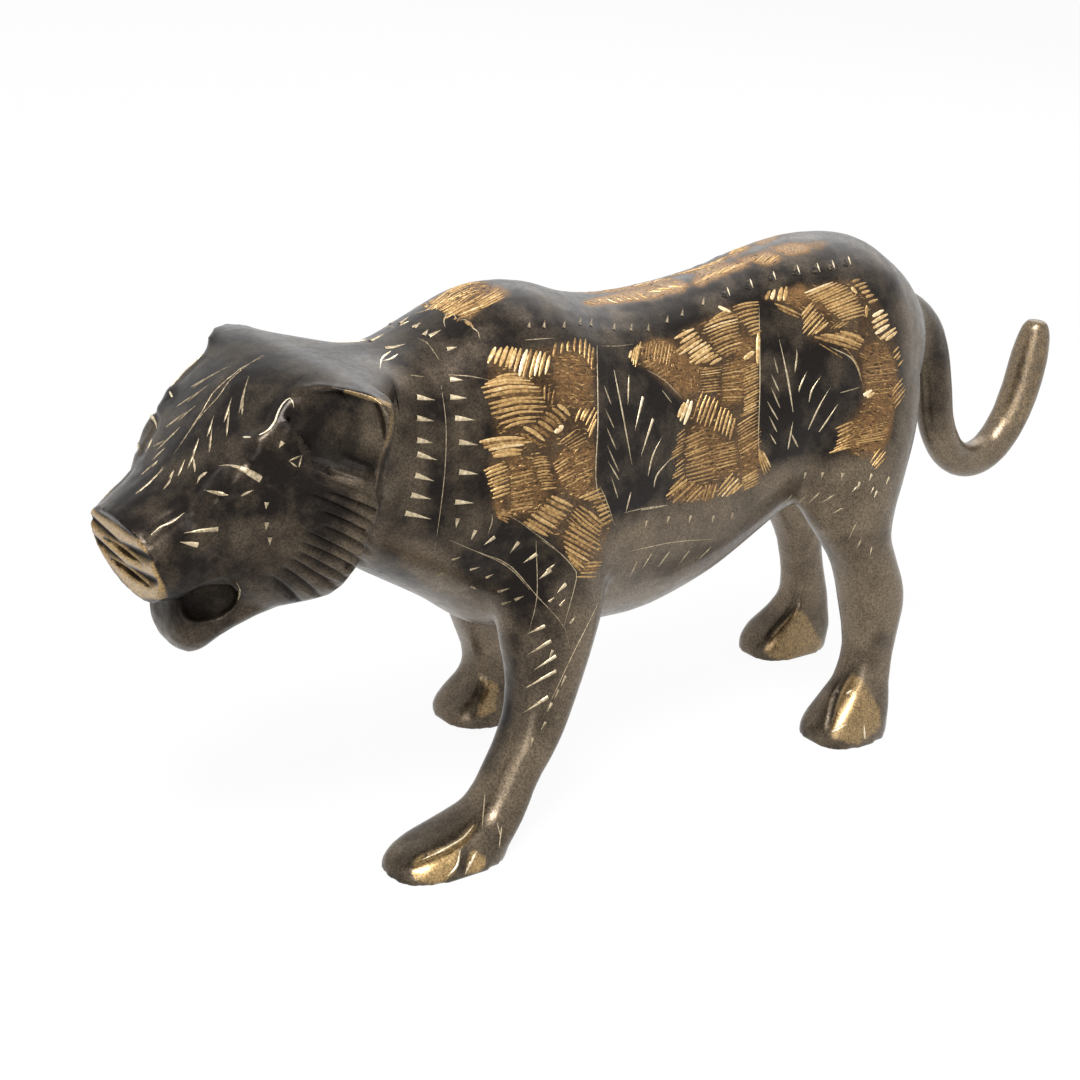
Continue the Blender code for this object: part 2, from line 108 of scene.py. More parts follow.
def add_node(
    tree: bpy.types.NodeTree,
    kind: str,
    inputs: dict | None = None,
    **settings: object,
) -> bpy.types.Node:
    """Add a node with its settings, its values and its links.

    Args:
        tree: Node tree that takes the node.
        kind: Blender's name for the node type.
        inputs: Input name or index to a value, or to an output socket to link.
        **settings: Properties of the node itself.

    Returns:
        The new node.
    """
    node = tree.nodes.new(kind)
    for name, value in settings.items():
        setattr(node, name, value)
    for key, value in (inputs or {}).items():
        if isinstance(value, bpy.types.NodeSocket):
            tree.links.new(value, node.inputs[key])
        else:
            node.inputs[key].default_value = value
    return node


class Side(Enum):
    """Flank of the leopard that a mark is on."""

    NEAR = -1
    FAR = 1


@dataclass(frozen=True)
class PhotoCamera:
    """Camera at the photograph's viewpoint.

    Attributes:
        place: Lens centre in the row frame, in mm.
        azimuth: Turn about the vertical, in degrees.
        elevation: Angle above the horizon, in degrees.
        roll: Tilt of the picture, in degrees.
        focal_px: Focal length in pixels of the square frame.
        frame_px: Side of the square frame, in pixels.
        sensor_mm: Width of the sensor.
        clip: Nearest and farthest distance that shows, in metres.
    """

    place: tuple[float, float, float] = (-209.0, -217.8, 146.0)
    azimuth: float = -40.5
    elevation: float = 20.5
    roll: float = 5.4
    focal_px: float = 1956.0
    frame_px: float = 1080.0
    sensor_mm: float = 36.0
    clip: tuple[float, float] = (0.01, 20.0)

    def axes(self) -> tuple[np.ndarray, np.ndarray, np.ndarray]:
        """Work out the picture's directions.

        Returns:
            The picture's right, its up, and the way back to the camera.
        """
        azimuth, elevation, roll = (
            math.radians(angle) for angle in (self.azimuth, self.elevation, self.roll)
        )
        back = np.array(
            (
                math.sin(azimuth) * math.cos(elevation),
                -math.cos(azimuth) * math.cos(elevation),
                math.sin(elevation),
            )
        )
        level = np.array((math.cos(azimuth), math.sin(azimuth), 0.0))
        upright = np.cross(back, level)
        right = math.cos(roll) * level + math.sin(roll) * upright
        up = -math.sin(roll) * level + math.cos(roll) * upright
        return right, up, back

    def lens(self) -> np.ndarray:
        """Return the lens centre in metres."""
        return np.array(self.place) * MM

    def ray(self, pixel: Pixel, side: Side) -> tuple[Vector, Vector]:
        """Return the ray through a pixel, mirrored in the middle plane for the far side.

        Args:
            pixel: Place in the photograph.
            side: Flank that the ray is meant for.

        Returns:
            The ray's start and its direction.
        """
        right, up, back = self.axes()
        across = (pixel[0] - self.frame_px / 2) / self.focal_px
        down = (pixel[1] - self.frame_px / 2) / self.focal_px
        start = self.lens()
        way = right * across - up * down - back
        if side is Side.FAR:
            start[1] = 2 * MIDDLE_Y - start[1]
            way[1] = -way[1]
        return Vector(start), Vector(way).normalized()

    def pixels(self, places: np.ndarray) -> np.ndarray:
        """Return the pixel at which each place shows, and the pixels to a metre there.

        Args:
            places: Places in metres, one to a row.

        Returns:
            Horizontal pixel, vertical pixel and scale, one row to a place.
        """
        right, up, back = self.axes()
        offset = places - self.lens()
        scale = self.focal_px / -(offset @ back)
        across = self.frame_px / 2 + scale * (offset @ right)
        down = self.frame_px / 2 - scale * (offset @ up)
        return np.stack((across, down, scale), axis=1)

    def build(self) -> bpy.types.Object:
        """Make the scene's camera.

        Returns:
            The camera's object.
        """
        right, up, back = self.axes()
        data = bpy.data.cameras.new("photo_camera")
        data.sensor_width = self.sensor_mm
        data.lens = self.focal_px / self.frame_px * self.sensor_mm
        data.clip_start, data.clip_end = self.clip
        camera = bpy.data.objects.new("photo_camera", data)
        turn = Matrix((right, up, back)).transposed()
        camera.matrix_world = Matrix.Translation(self.lens()) @ turn.to_4x4()
        bpy.context.collection.objects.link(camera)
        bpy.context.scene.camera = camera
        return camera


def inside(places: np.ndarray, outline: Pixels) -> np.ndarray:
    """Tell which places of the picture lie inside an outline.

    Args:
        places: Pixels, one pair to a row.
        outline: Corners of the closed outline.

    Returns:
        True for each place inside.
    """
    held = np.zeros(len(places), dtype=bool)
    x, y = places[:, 0], places[:, 1]
    for (ax, ay), (bx, by) in zip(outline, outline[1:] + outline[:1]):
        crosses = (ay > y) != (by > y)
        rise = by - ay if by != ay else 1e-9
        held ^= crosses & (x < (bx - ax) * (y - ay) / rise + ax)
    return held


def along(route: Pixels, shares: np.ndarray) -> list[Pixel]:
    """Return pixels spaced along a smooth route.

    Args:
        route: Pixels that the route passes, two or more.
        shares: Where along the route, from 0 to 1.

    Returns:
        One pixel for each share.
    """
    stops = np.array(route, dtype=float)
    if len(stops) == 2:
        return [tuple(stops[0] + (stops[1] - stops[0]) * share) for share in shares]
    steps = np.linalg.norm(np.diff(stops, axis=0), axis=1)
    knots = np.concatenate(((0.0,), np.cumsum(steps))) / steps.sum()
    padded = np.vstack((2 * stops[0] - stops[1], stops, 2 * stops[-1] - stops[-2]))
    found = []
    for share in shares:
        span = min(int(np.searchsorted(knots, share, side="right")) - 1, len(stops) - 2)
        t = (share - knots[span]) / (knots[span + 1] - knots[span])
        a, b, c, d = padded[span : span + 4]
        bend = (2 * a - 5 * b + 4 * c - d) * t * t + (3 * b - a - 3 * c + d) * t**3
        found.append(tuple(0.5 * (2 * b + (c - a) * t + bend)))
    return found


# Balls in the web behind the ears: along the body, from the middle plane, and up, in mm.
WEB_RADIUS = 0.8 * MM
WEB_BALLS = (
    (-71.3, 4.0, 73.7), (-71.0, 10.0, 73.6), (-70.0, 13.6, 73.2), (-69.2, 16.6, 72.7),
    (-68.0, 18.2, 71.9), (-67.8, 17.4, 67.5), (-60.0, 2.6, 72.8), (-58.5, 6.1, 71.7),
    (-60.2, 9.1, 69.8), (-63.0, 8.6, 66.0),
)


@dataclass
class FineSkin:
    """A part of the casting as a fine, even skin of its own.

    Attributes:
        name: Name of the piece.
        voxel: Spacing of the skin's corners.
        keep_from: Lowest place along the body that is kept.
        keep_to: Highest place along the body that is kept.
        fairing: Rounds of smoothing that take the casting's facets away.
        margin: How far past its ends the part is worked before it is trimmed.
        mesh: The skin, once it is made.
        piece: The finished object.
    """

    name: str
    voxel: float
    keep_from: float
    keep_to: float
    fairing: int
    margin: float = 4 * MM
    mesh: bpy.types.Mesh | None = None
    piece: bpy.types.Object | None = None

    def slice(self, shape: bmesh.types.BMesh, low: float, high: float) -> None:
        """Trim a shape to a stretch of the body and close the cuts.

        Args:
            shape: Closed shape to trim.
            low: Lowest place along the body that is kept.
            high: Highest place along the body that is kept.
        """
        for place, way in ((low, -1), (high, 1)):
            found = bmesh.ops.bisect_plane(
                shape,
                geom=[*shape.verts, *shape.edges, *shape.faces],
                plane_co=(place, 0, 0),
                plane_no=(way, 0, 0),
                clear_outer=True,
            )
            rim = [part for part in found["geom_cut"] if isinstance(part, bmesh.types.BMEdge)]
            if rim:
                bmesh.ops.holes_fill(shape, edges=rim)
        bmesh.ops.recalc_face_normals(shape, faces=shape.faces)

    def remesh(self, source: bpy.types.Object) -> None:
        """Copy the casting's stretch and give it an even skin.

        Args:
            source: The casting's node.
        """
        shape = bmesh.new()
        shape.from_mesh(source.data)
        bmesh.ops.remove_doubles(shape, verts=shape.verts, dist=0.001 * MM)
        self.add_web(shape)
        self.slice(shape, self.keep_from - self.margin, self.keep_to + self.margin)
        rough = bpy.data.meshes.new(f"{self.name}_rough")
        shape.to_mesh(rough)
        shape.free()
        holder = bpy.data.objects.new(rough.name, rough)
        bpy.context.collection.objects.link(holder)
        remesh = holder.modifiers.new("even", "REMESH")
        remesh.mode = "VOXEL"
        remesh.voxel_size = self.voxel
        bpy.context.view_layer.update()
        graph = bpy.context.evaluated_depsgraph_get()
        self.mesh = bpy.data.meshes.new_from_object(holder.evaluated_get(graph))
        self.mesh.name = self.name
        bpy.data.objects.remove(holder)
        bpy.data.meshes.remove(rough)

    def add_web(self, shape: bmesh.types.BMesh) -> None:
        """Fill the corner behind the ears, where the top of the head flows into the neck.

        Args:
            shape: The casting's shape, which takes the web.
        """
        web = bmesh.new()
        for x, y, z in WEB_BALLS:
            for side in Side:
                place = Vector((x * MM, MIDDLE_Y + side.value * y * MM, z * MM))
                matrix = Matrix.Translation(place)
                bmesh.ops.create_icosphere(web, subdivisions=2, radius=WEB_RADIUS, matrix=matrix)
        hull = bmesh.ops.convex_hull(web, input=web.verts, use_existing_faces=False)
        loose = {part for part in hull["geom_interior"] if isinstance(part, bmesh.types.BMVert)}
        bmesh.ops.delete(web, geom=list(loose), context="VERTS")
        hidden = [face for face in web.faces if face not in set(hull["geom"])]
        bmesh.ops.delete(web, geom=hidden, context="FACES_ONLY")
        bmesh.ops.recalc_face_normals(web, faces=web.faces)
        mesh = bpy.data.meshes.new(f"{self.name}_web")
        web.to_mesh(mesh)
        web.free()
        shape.from_mesh(mesh)
        bpy.data.meshes.remove(mesh)

    def places(self) -> np.ndarray:
        """Read the corners' places.

        Returns:
            One place to a row, in metres.
        """
        flat = np.empty(len(self.mesh.vertices) * 3)
        self.mesh.vertices.foreach_get("co", flat)
        return flat.reshape(-1, 3)

    def normals(self) -> np.ndarray:
        """Read the corners' outward directions.

        Returns:
            One direction to a row.
        """
        flat = np.empty(len(self.mesh.vertices) * 3)
        self.mesh.vertex_normals.foreach_get("vector", flat)
        return flat.reshape(-1, 3)

    def move_to(self, places: np.ndarray) -> None:
        """Put the corners at new places."""
        self.mesh.vertices.foreach_set("co", places.ravel())
        self.mesh.update()

    def fair(
        self,
        share: np.ndarray | float = 1.0,
        shrink: float = -0.54,
        rounds: int | None = None,
    ) -> None:
        """Smooth the facets away.

        Args:
            share: How much of the smoothing each corner takes, from 0 to 1.
            shrink: Factor of every second round; below 0 it keeps the form from thinning.
            rounds: Rounds of smoothing, or None for the part's own number.
        """
        pairs = np.empty(len(self.mesh.edges) * 2, dtype=np.int32)
        self.mesh.edges.foreach_get("vertices", pairs)
        near, far = pairs.reshape(-1, 2).T
        places = self.places()
        total = len(places)
        neighbours = np.bincount(pairs, minlength=total)[:, None]
        hold = np.broadcast_to(np.asarray(share, dtype=float), (total,))[:, None]
        factors = (FAIR_STEP, shrink) if shrink else (SOFTEN_STEP,)
        for factor in factors * (self.fairing if rounds is None else rounds):
            sums = np.empty_like(places)
            for axis in range(3):
                line = places[:, axis]
                sums[:, axis] = np.bincount(near, line[far], total)
                sums[:, axis] += np.bincount(far, line[near], total)
            places = places + (sums / neighbours - places) * factor * hold
        self.move_to(places)

    def chase(self, camera: PhotoCamera, chasings: tuple["Chasing", ...]) -> None:
        """Work furrows and ridges into the skin.

        Args:
            camera: Camera that places them.
            chasings: The furrows and ridges.
        """
        views = {both: View.of(self, camera, both) for both in (True, False)}
        depth = np.zeros(len(self.mesh.vertices))
        dirt_and_shade = np.zeros(len(self.mesh.vertices))
        for chasing in chasings:
            view = views[chasing.both]
            away, where = reach(view.pixels, chasing.route)
            profile = 1 - smooth_step(0, chasing.width * MM / 2, away)
            if not chasing.even:
                bow = np.sqrt(np.clip(4 * where * (1 - where), 0, 1))
                profile *= END_DEPTH + (1 - END_DEPTH) * bow
            profile *= smooth_step(*CHASED_FACING, view.facing)
            depth += profile * chasing.depth * MM
            dirt_and_shade = np.maximum(dirt_and_shade, profile * chasing.dirt_and_shade)
        self.move_to(self.places() - self.normals() * depth[:, None])
        self.mark("dirt_and_shade", dirt_and_shade)

    def pull(self, camera: PhotoCamera, pulls: tuple["Pull", ...]) -> None:
        """Slide parts of the face sideways, as the photograph shows them.

        Args:
            camera: Camera that places them.
            pulls: The parts and their shifts.
        """
        view = View.of(self, camera, True)
        right, up, _ = camera.axes()
        places = self.places()
        shift = np.zeros_like(places)
        face = 1 - smooth_step(*FACE_END, places[:, 0])
        for item in pulls:
            away, _ = reach(view.pixels, item.route)
            width = item.width * MM
            share = face * (1 - smooth_step(width * PULL_CORE, width / 2, away))
            way = right * item.shift[0] - up * item.shift[1]
            shift += (share / view.pixels[:, 2])[:, None] * way
        shift[places[:, 1] > MIDDLE_Y, 1] *= -1
        self.move_to(places + shift)

    def soften(
        self,
        camera: PhotoCamera,
        routes: tuple[tuple[Pixels, float], ...],
        rounds: int,
    ) -> None:
        """Smooth an edge or a hollow away along routes.

        Args:
            camera: Camera that places the routes.
            routes: Pixels of each route, and its full width in mm.
            rounds: Rounds of smoothing.
        """
        view = View.of(self, camera, True)
        share = np.zeros(len(view.facing))
        for route, width in routes:
            away, _ = reach(view.pixels, route)
            half = width * MM / 2
            share = np.maximum(share, 1 - smooth_step(half * SOFT_CORE, half, away))
        share *= smooth_step(*EDGE_FACING, view.facing)
        self.fair(share, shrink=0.0, rounds=rounds)

    def mark(self, name: str, values: np.ndarray) -> None:
        """Store one number for each corner, for the finish to read.

        Args:
            name: Name of the attribute.
            values: One number to a corner.
        """
        layer = self.mesh.attributes.get(name)
        if layer is None:
            layer = self.mesh.attributes.new(name, "FLOAT", "POINT")
        layer.data.foreach_set("value", values.astype(np.float32))

    def spread(self, values: np.ndarray, rounds: int = 2) -> np.ndarray:
        """Soften the edges of a mark.

        Args:
            values: One number to a corner.
            rounds: How many times each corner takes its neighbours' mean.

        Returns:
            The softened numbers.
        """
        pairs = np.empty(len(self.mesh.edges) * 2, dtype=np.int32)
        self.mesh.edges.foreach_get("vertices", pairs)
        near, far = pairs.reshape(-1, 2).T
        total = len(values)
        neighbours = np.bincount(pairs, minlength=total)
        for _ in range(rounds):
            sums = np.bincount(near, values[far], total) + np.bincount(far, values[near], total)
            values = (values + sums / neighbours) / 2
        return values

    def finish(self, material: bpy.types.Material) -> bpy.types.Object:
        """Trim the skin, make it an object and tie it to the frame.

        Args:
            material: Finish of the skin.

        Returns:
            The finished piece.
        """
        shape = bmesh.new()
        shape.from_mesh(self.mesh)
        self.slice(shape, self.keep_from, self.keep_to)
        shape.to_mesh(self.mesh)
        shape.free()
        self.mesh.shade_smooth()
        self.mesh.set_sharp_from_angle(angle=math.radians(60))
        self.mesh.materials.clear()
        self.mesh.materials.append(material)
        self.piece = bpy.data.objects.new(self.name, self.mesh)
        bpy.context.collection.objects.link(self.piece)
        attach(self.piece, BODY)
        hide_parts(NODE)
        LOG.info("%s: %d faces", self.name, len(self.mesh.polygons))
        return self.piece


def smooth_step(low: float, high: float, values: np.ndarray) -> np.ndarray:
    """Ramp smoothly from 0 at low to 1 at high."""
    share = np.clip((values - low) / (high - low), 0, 1)
    return share * share * (3 - 2 * share)


def reach(pixels: np.ndarray, route: Pixels) -> tuple[np.ndarray, np.ndarray]:
    """Return how far each place lies from a route, and how far along the route.

    Args:
        pixels: Pixel and scale of each place, as the camera gives them.
        route: Pixels of the route's middle line; one pixel makes a spot.

    Returns:
        Distance from the route in metres, and the place along it from 0 to 1.
    """
    if len(route) == 1:
        away = np.linalg.norm(pixels[:, :2] - np.array(route[0]), axis=1)
        return away / pixels[:, 2], np.full(len(pixels), 0.5)
    line = np.array(along(route, np.linspace(0, 1, 13)))
    steps = np.linalg.norm(np.diff(line, axis=0), axis=1)
    marks = np.concatenate(((0.0,), np.cumsum(steps))) / steps.sum()
    best = np.full(len(pixels), 1e9)
    where = np.zeros(len(pixels))
    for a, b, low, high in zip(line, line[1:], marks, marks[1:]):
        run = b - a
        share = np.clip(((pixels[:, :2] - a) @ run) / (run @ run), 0, 1)
        away = np.linalg.norm(pixels[:, :2] - a - share[:, None] * run, axis=1)
        closer = away < best
        best[closer] = away[closer]
        where[closer] = (low + (high - low) * share)[closer]
    return best / pixels[:, 2], where


@dataclass(frozen=True)
class Chasing:
    """A furrow, a ridge or a hollow worked into the skin with a punch.

    Attributes:
        route: Pixels of its middle line; one pixel makes a round hollow or boss.
        width: Full width, in mm.
        depth: Depth in mm; below 0 it is raised.
        dirt_and_shade: How much dark dirt it holds, from 0 to 1; at the foot of the ear's hollow it
            is painted shade.
        both: True if both flanks have it.
        even: True if it keeps its depth to its ends.
    """

    route: Pixels
    width: float
    depth: float
    dirt_and_shade: float = 0.0
    both: bool = True
    even: bool = False


@dataclass
class View:
    """What the camera sees of a skin's corners.

    Attributes:
        pixels: Pixel and scale of each corner.
        facing: How squarely each corner faces the camera, 1 when it looks straight at it.
    """

    pixels: np.ndarray
    facing: np.ndarray

    @classmethod
    def of(cls, skin: FineSkin, camera: PhotoCamera, mirrored: bool) -> "View":
        """Look at a skin.

        Args:
            skin: The skin.
            camera: The photograph's camera.
            mirrored: True to look at each corner as if it were on the near flank.

        Returns:
            The view.
        """
        places = skin.places()
        outward = skin.normals()
        if mirrored:
            far = places[:, 1] > MIDDLE_Y
            places[far, 1] = 2 * MIDDLE_Y - places[far, 1]
            outward[far, 1] = -outward[far, 1]
        sight = camera.lens() - places
        sight /= np.linalg.norm(sight, axis=1)[:, None]
        return cls(camera.pixels(places), np.einsum("ij,ij->i", outward, sight))


@dataclass(frozen=True)
class Pull:
    """A part of the face to slide in the picture's plane.

    Attributes:
        route: Pixels of its middle line.
        shift: How far it slides, in pixels to the right and down.
        width: Full width of what slides with it, in mm.
    """

    route: Pixels
    shift: Pixel
    width: float


# Where the top of the head flows into the neck without an edge.
TOP_EDGES = (
    (((232, 328), (262, 341), (300, 358), (340, 374), (372, 388)), 5.0),
    (((262, 336), (300, 350), (345, 362), (376, 376)), 7.0),
    (((320, 350), (352, 354), (388, 366), (398, 392)), 7.0),
)


@dataclass
class Head(FineSkin):
    """Mask-like head, with its ears, brows, ruff and mouth chased by hand.

    Attributes:
        pulls: Parts that slide sideways after the skin is made.
        soft_routes: Middle lines and widths of the places that are smoothed.
        chasings: Furrows, ridges and hollows.
        furrows: Middle lines of the ruff's furrows.
        furrow_width: Width of a furrow, in mm.
        shallow: How many furrows are shallow, from the ear down.
        shallow_cut: Depth in mm of those, and the dirt in them.
        deep_cut: Depth in mm of the others, and the dirt in them.
        top_rounds: Rounds of smoothing over the top of the head.
        soft_rounds: Rounds of smoothing along the soft routes.
    """

    name: str = "head"
    voxel: float = 0.27 * MM
    keep_from: float = -110 * MM
    keep_to: float = -60.0 * MM
    fairing: int = 34
    furrow_width: float = 1.3
    shallow: int = 3
    shallow_cut: tuple[float, float] = (0.3, 0.45)
    deep_cut: tuple[float, float] = (0.55, 0.7)
    top_rounds: int = 110
    soft_rounds: int = 170
    # The ear's rim is thin: its hollow reaches nearly to the edge, which dips under it.
    pulls: tuple[Pull, ...] = (
        Pull(((380, 412), (382, 425), (379, 442)), (4.0, 0.0), 5.4),
        Pull(((300, 399), (330, 398), (350, 402), (366, 406)), (1.0, -4.5), 4.6),
        Pull(((390, 462), (388, 475), (389, 488)), (-7.0, 0.0), 6.0),
    )
    # Where the scooped ear fades into the cheek, and the cheek under the ruff.
    soft_routes: tuple[tuple[Pixels, float], ...] = (
        (((281, 410), (288, 423), (300, 436), (312, 449), (324, 458), (346, 464), (372, 472)), 9.5),
        (((356, 484), (345, 515), (330, 548), (292, 580)), 7.0),
        (((300, 470), (292, 520), (280, 560)), 7.0),
        (((312, 425), (340, 430), (362, 440)), 6.0),
    )
    chasings: tuple[Chasing, ...] = (
        # brow ridge that runs up into the ear's front edge, and the hollow behind it
        Chasing(((244, 441), (262, 438), (273, 429), (280, 415), (290, 399)), 3.2, -0.42),
        Chasing(((310, 440), (330, 420), (350, 405)), 7.0, 0.3),
        # foot of the ear's hollow, pressed flat; painted shade: darkened, dulled and without wax,
        # so that it does not catch the light
        Chasing(((308, 451), (326, 457), (346, 462), (372, 469)), 8.0, 0.6, 0.92, True, True),
        # eye: a low boss between the lids, under the brow
        Chasing(((236, 482),), 4.8, -0.2),
        Chasing(((206, 478), (222, 463), (248, 464), (266, 480)), 1.6, 0.3),
        Chasing(((206, 494), (228, 501), (254, 496)), 1.6, 0.25),
        Chasing(((205, 480), (196, 492)), 2.4, 0.3),
        # edge along the muzzle's upper side, and the hollows beside and under it
        Chasing(((146, 541), (166, 525), (192, 510)), 2.0, -0.3),
        Chasing(((172, 560), (200, 560), (225, 556)), 4.0, 0.3),
        # lip line from the muzzle's face to the corner of the mouth
        Chasing(((170, 597), (190, 588), (214, 577), (236, 574)), 1.3, -0.22),
        Chasing(((225, 575), (238, 590), (236, 606), (222, 616)), 1.3, -0.35),
        # the inside of the mouth is darkened
        Chasing(((178, 607), (200, 603), (224, 597)), 8.4, 0.1, 0.8, True, True),
        # slots and a streak in the sawn face of the muzzle
        Chasing(((93, 538), (118, 547), (148, 560)), 2.1, 0.5, 1.0, True, True),
        Chasing(((101, 559), (124, 570), (152, 583)), 2.0, 0.5, 1.0, True, True),
        Chasing(((108, 519), (120, 528), (136, 540)), 0.8, 0.2, 0.7),
    )
    # Furrows of the ruff, from the cheek to the rim.
    furrows: tuple[Pixels, ...] = (
        ((341, 456), (362, 465), (386, 478)),
        ((331, 468), (356, 478), (384, 490)),
        ((318, 477), (350, 490), (384, 502)),
        ((322, 492), (352, 503), (382, 515)),
        ((306, 494), (340, 509), (378, 528)),
        ((320, 513), (348, 525), (374, 540)),
        ((321, 527), (344, 538), (370, 552)),
        ((303, 532), (332, 547), (364, 563)),
        ((299, 544), (327, 556), (357, 572)),
        ((297, 553), (322, 567), (350, 581)),
        ((290, 560), (312, 574), (338, 589)),
        ((281, 568), (300, 582), (320, 597)),
        ((270, 577), (284, 589), (300, 602)),
    )

    def dress(self, source: bpy.types.Object, camera: PhotoCamera) -> None:
        """Make the fine skin and chase it.

        Args:
            source: The casting's node.
            camera: Camera that places the furrows.
        """
        self.remesh(source)
        self.fair()
        self.soften(camera, TOP_EDGES, self.top_rounds)
        self.pull(camera, self.pulls)
        self.soften(camera, self.soft_routes, self.soft_rounds)
        ruff = tuple(
            Chasing(route, self.furrow_width, *cut)
            for cut, routes in (
                (self.shallow_cut, self.furrows[: self.shallow]),
                (self.deep_cut, self.furrows[self.shallow :]),
            )
            for route in routes
        )
        self.chase(camera, self.chasings + ruff)


@dataclass
class Body(FineSkin):
    """Neck, barrel, legs and tail.

    Attributes:
        chasings: Filed creases of the paws.
        top_rounds: Rounds of smoothing where the top of the head meets the neck.
    """

    name: str = "body"
    voxel: float = 0.58 * MM
    keep_from: float = -60.1 * MM
    keep_to: float = 110 * MM
    fairing: int = 14
    top_rounds: int = 30
    chasings: tuple[Chasing, ...] = (
        # filed creases of the near front paw
        Chasing(((477, 818), (467, 834), (456, 844), (440, 852), (424, 857), (412, 866)), 1.2, 0.4,
            0.6, False),
        Chasing(((461, 850), (461, 862), (463, 874)), 1.1, 0.35, 0.5, False),
        Chasing(((470, 850), (467, 862), (464, 874)), 1.1, 0.35, 0.5, False),
        # filed crease of the near hind paw
        Chasing(((851, 665), (849, 673), (843, 681), (836, 696), (832, 710), (828, 730)), 1.4, 0.5,
            0.8, False),
        # creases of the far paws
        Chasing(((796, 604), (786, 617), (772, 632), (768, 642)), 1.3, 0.35, 0.6, False),
        Chasing(((484, 676), (483, 690), (477, 704), (474, 718)), 1.3, 0.3, 0.5, False),
    )

    def dress(self, source: bpy.types.Object, camera: PhotoCamera) -> None:
        """Make the fine skin.

        Args:
            source: The casting's node.
            camera: Camera that places the creases.
        """
        self.remesh(source)
        self.fair()
        self.soften(camera, TOP_EDGES, self.top_rounds)
        self.chase(camera, self.chasings)


class Cut(Enum):
    """Shape of a graver's stroke seen from above, as shares of its full width."""

    LINE = (0.35, 0.9, 1.0, 0.95, 0.7, 0.1)
    WEDGE = (1.0, 0.95, 0.78, 0.55, 0.3, 0.06)
    DART = (0.1, 0.45, 0.8, 1.0, 0.9, 0.3)
    BAR = (0.5, 0.95, 1.0, 0.95, 0.85, 0.4)


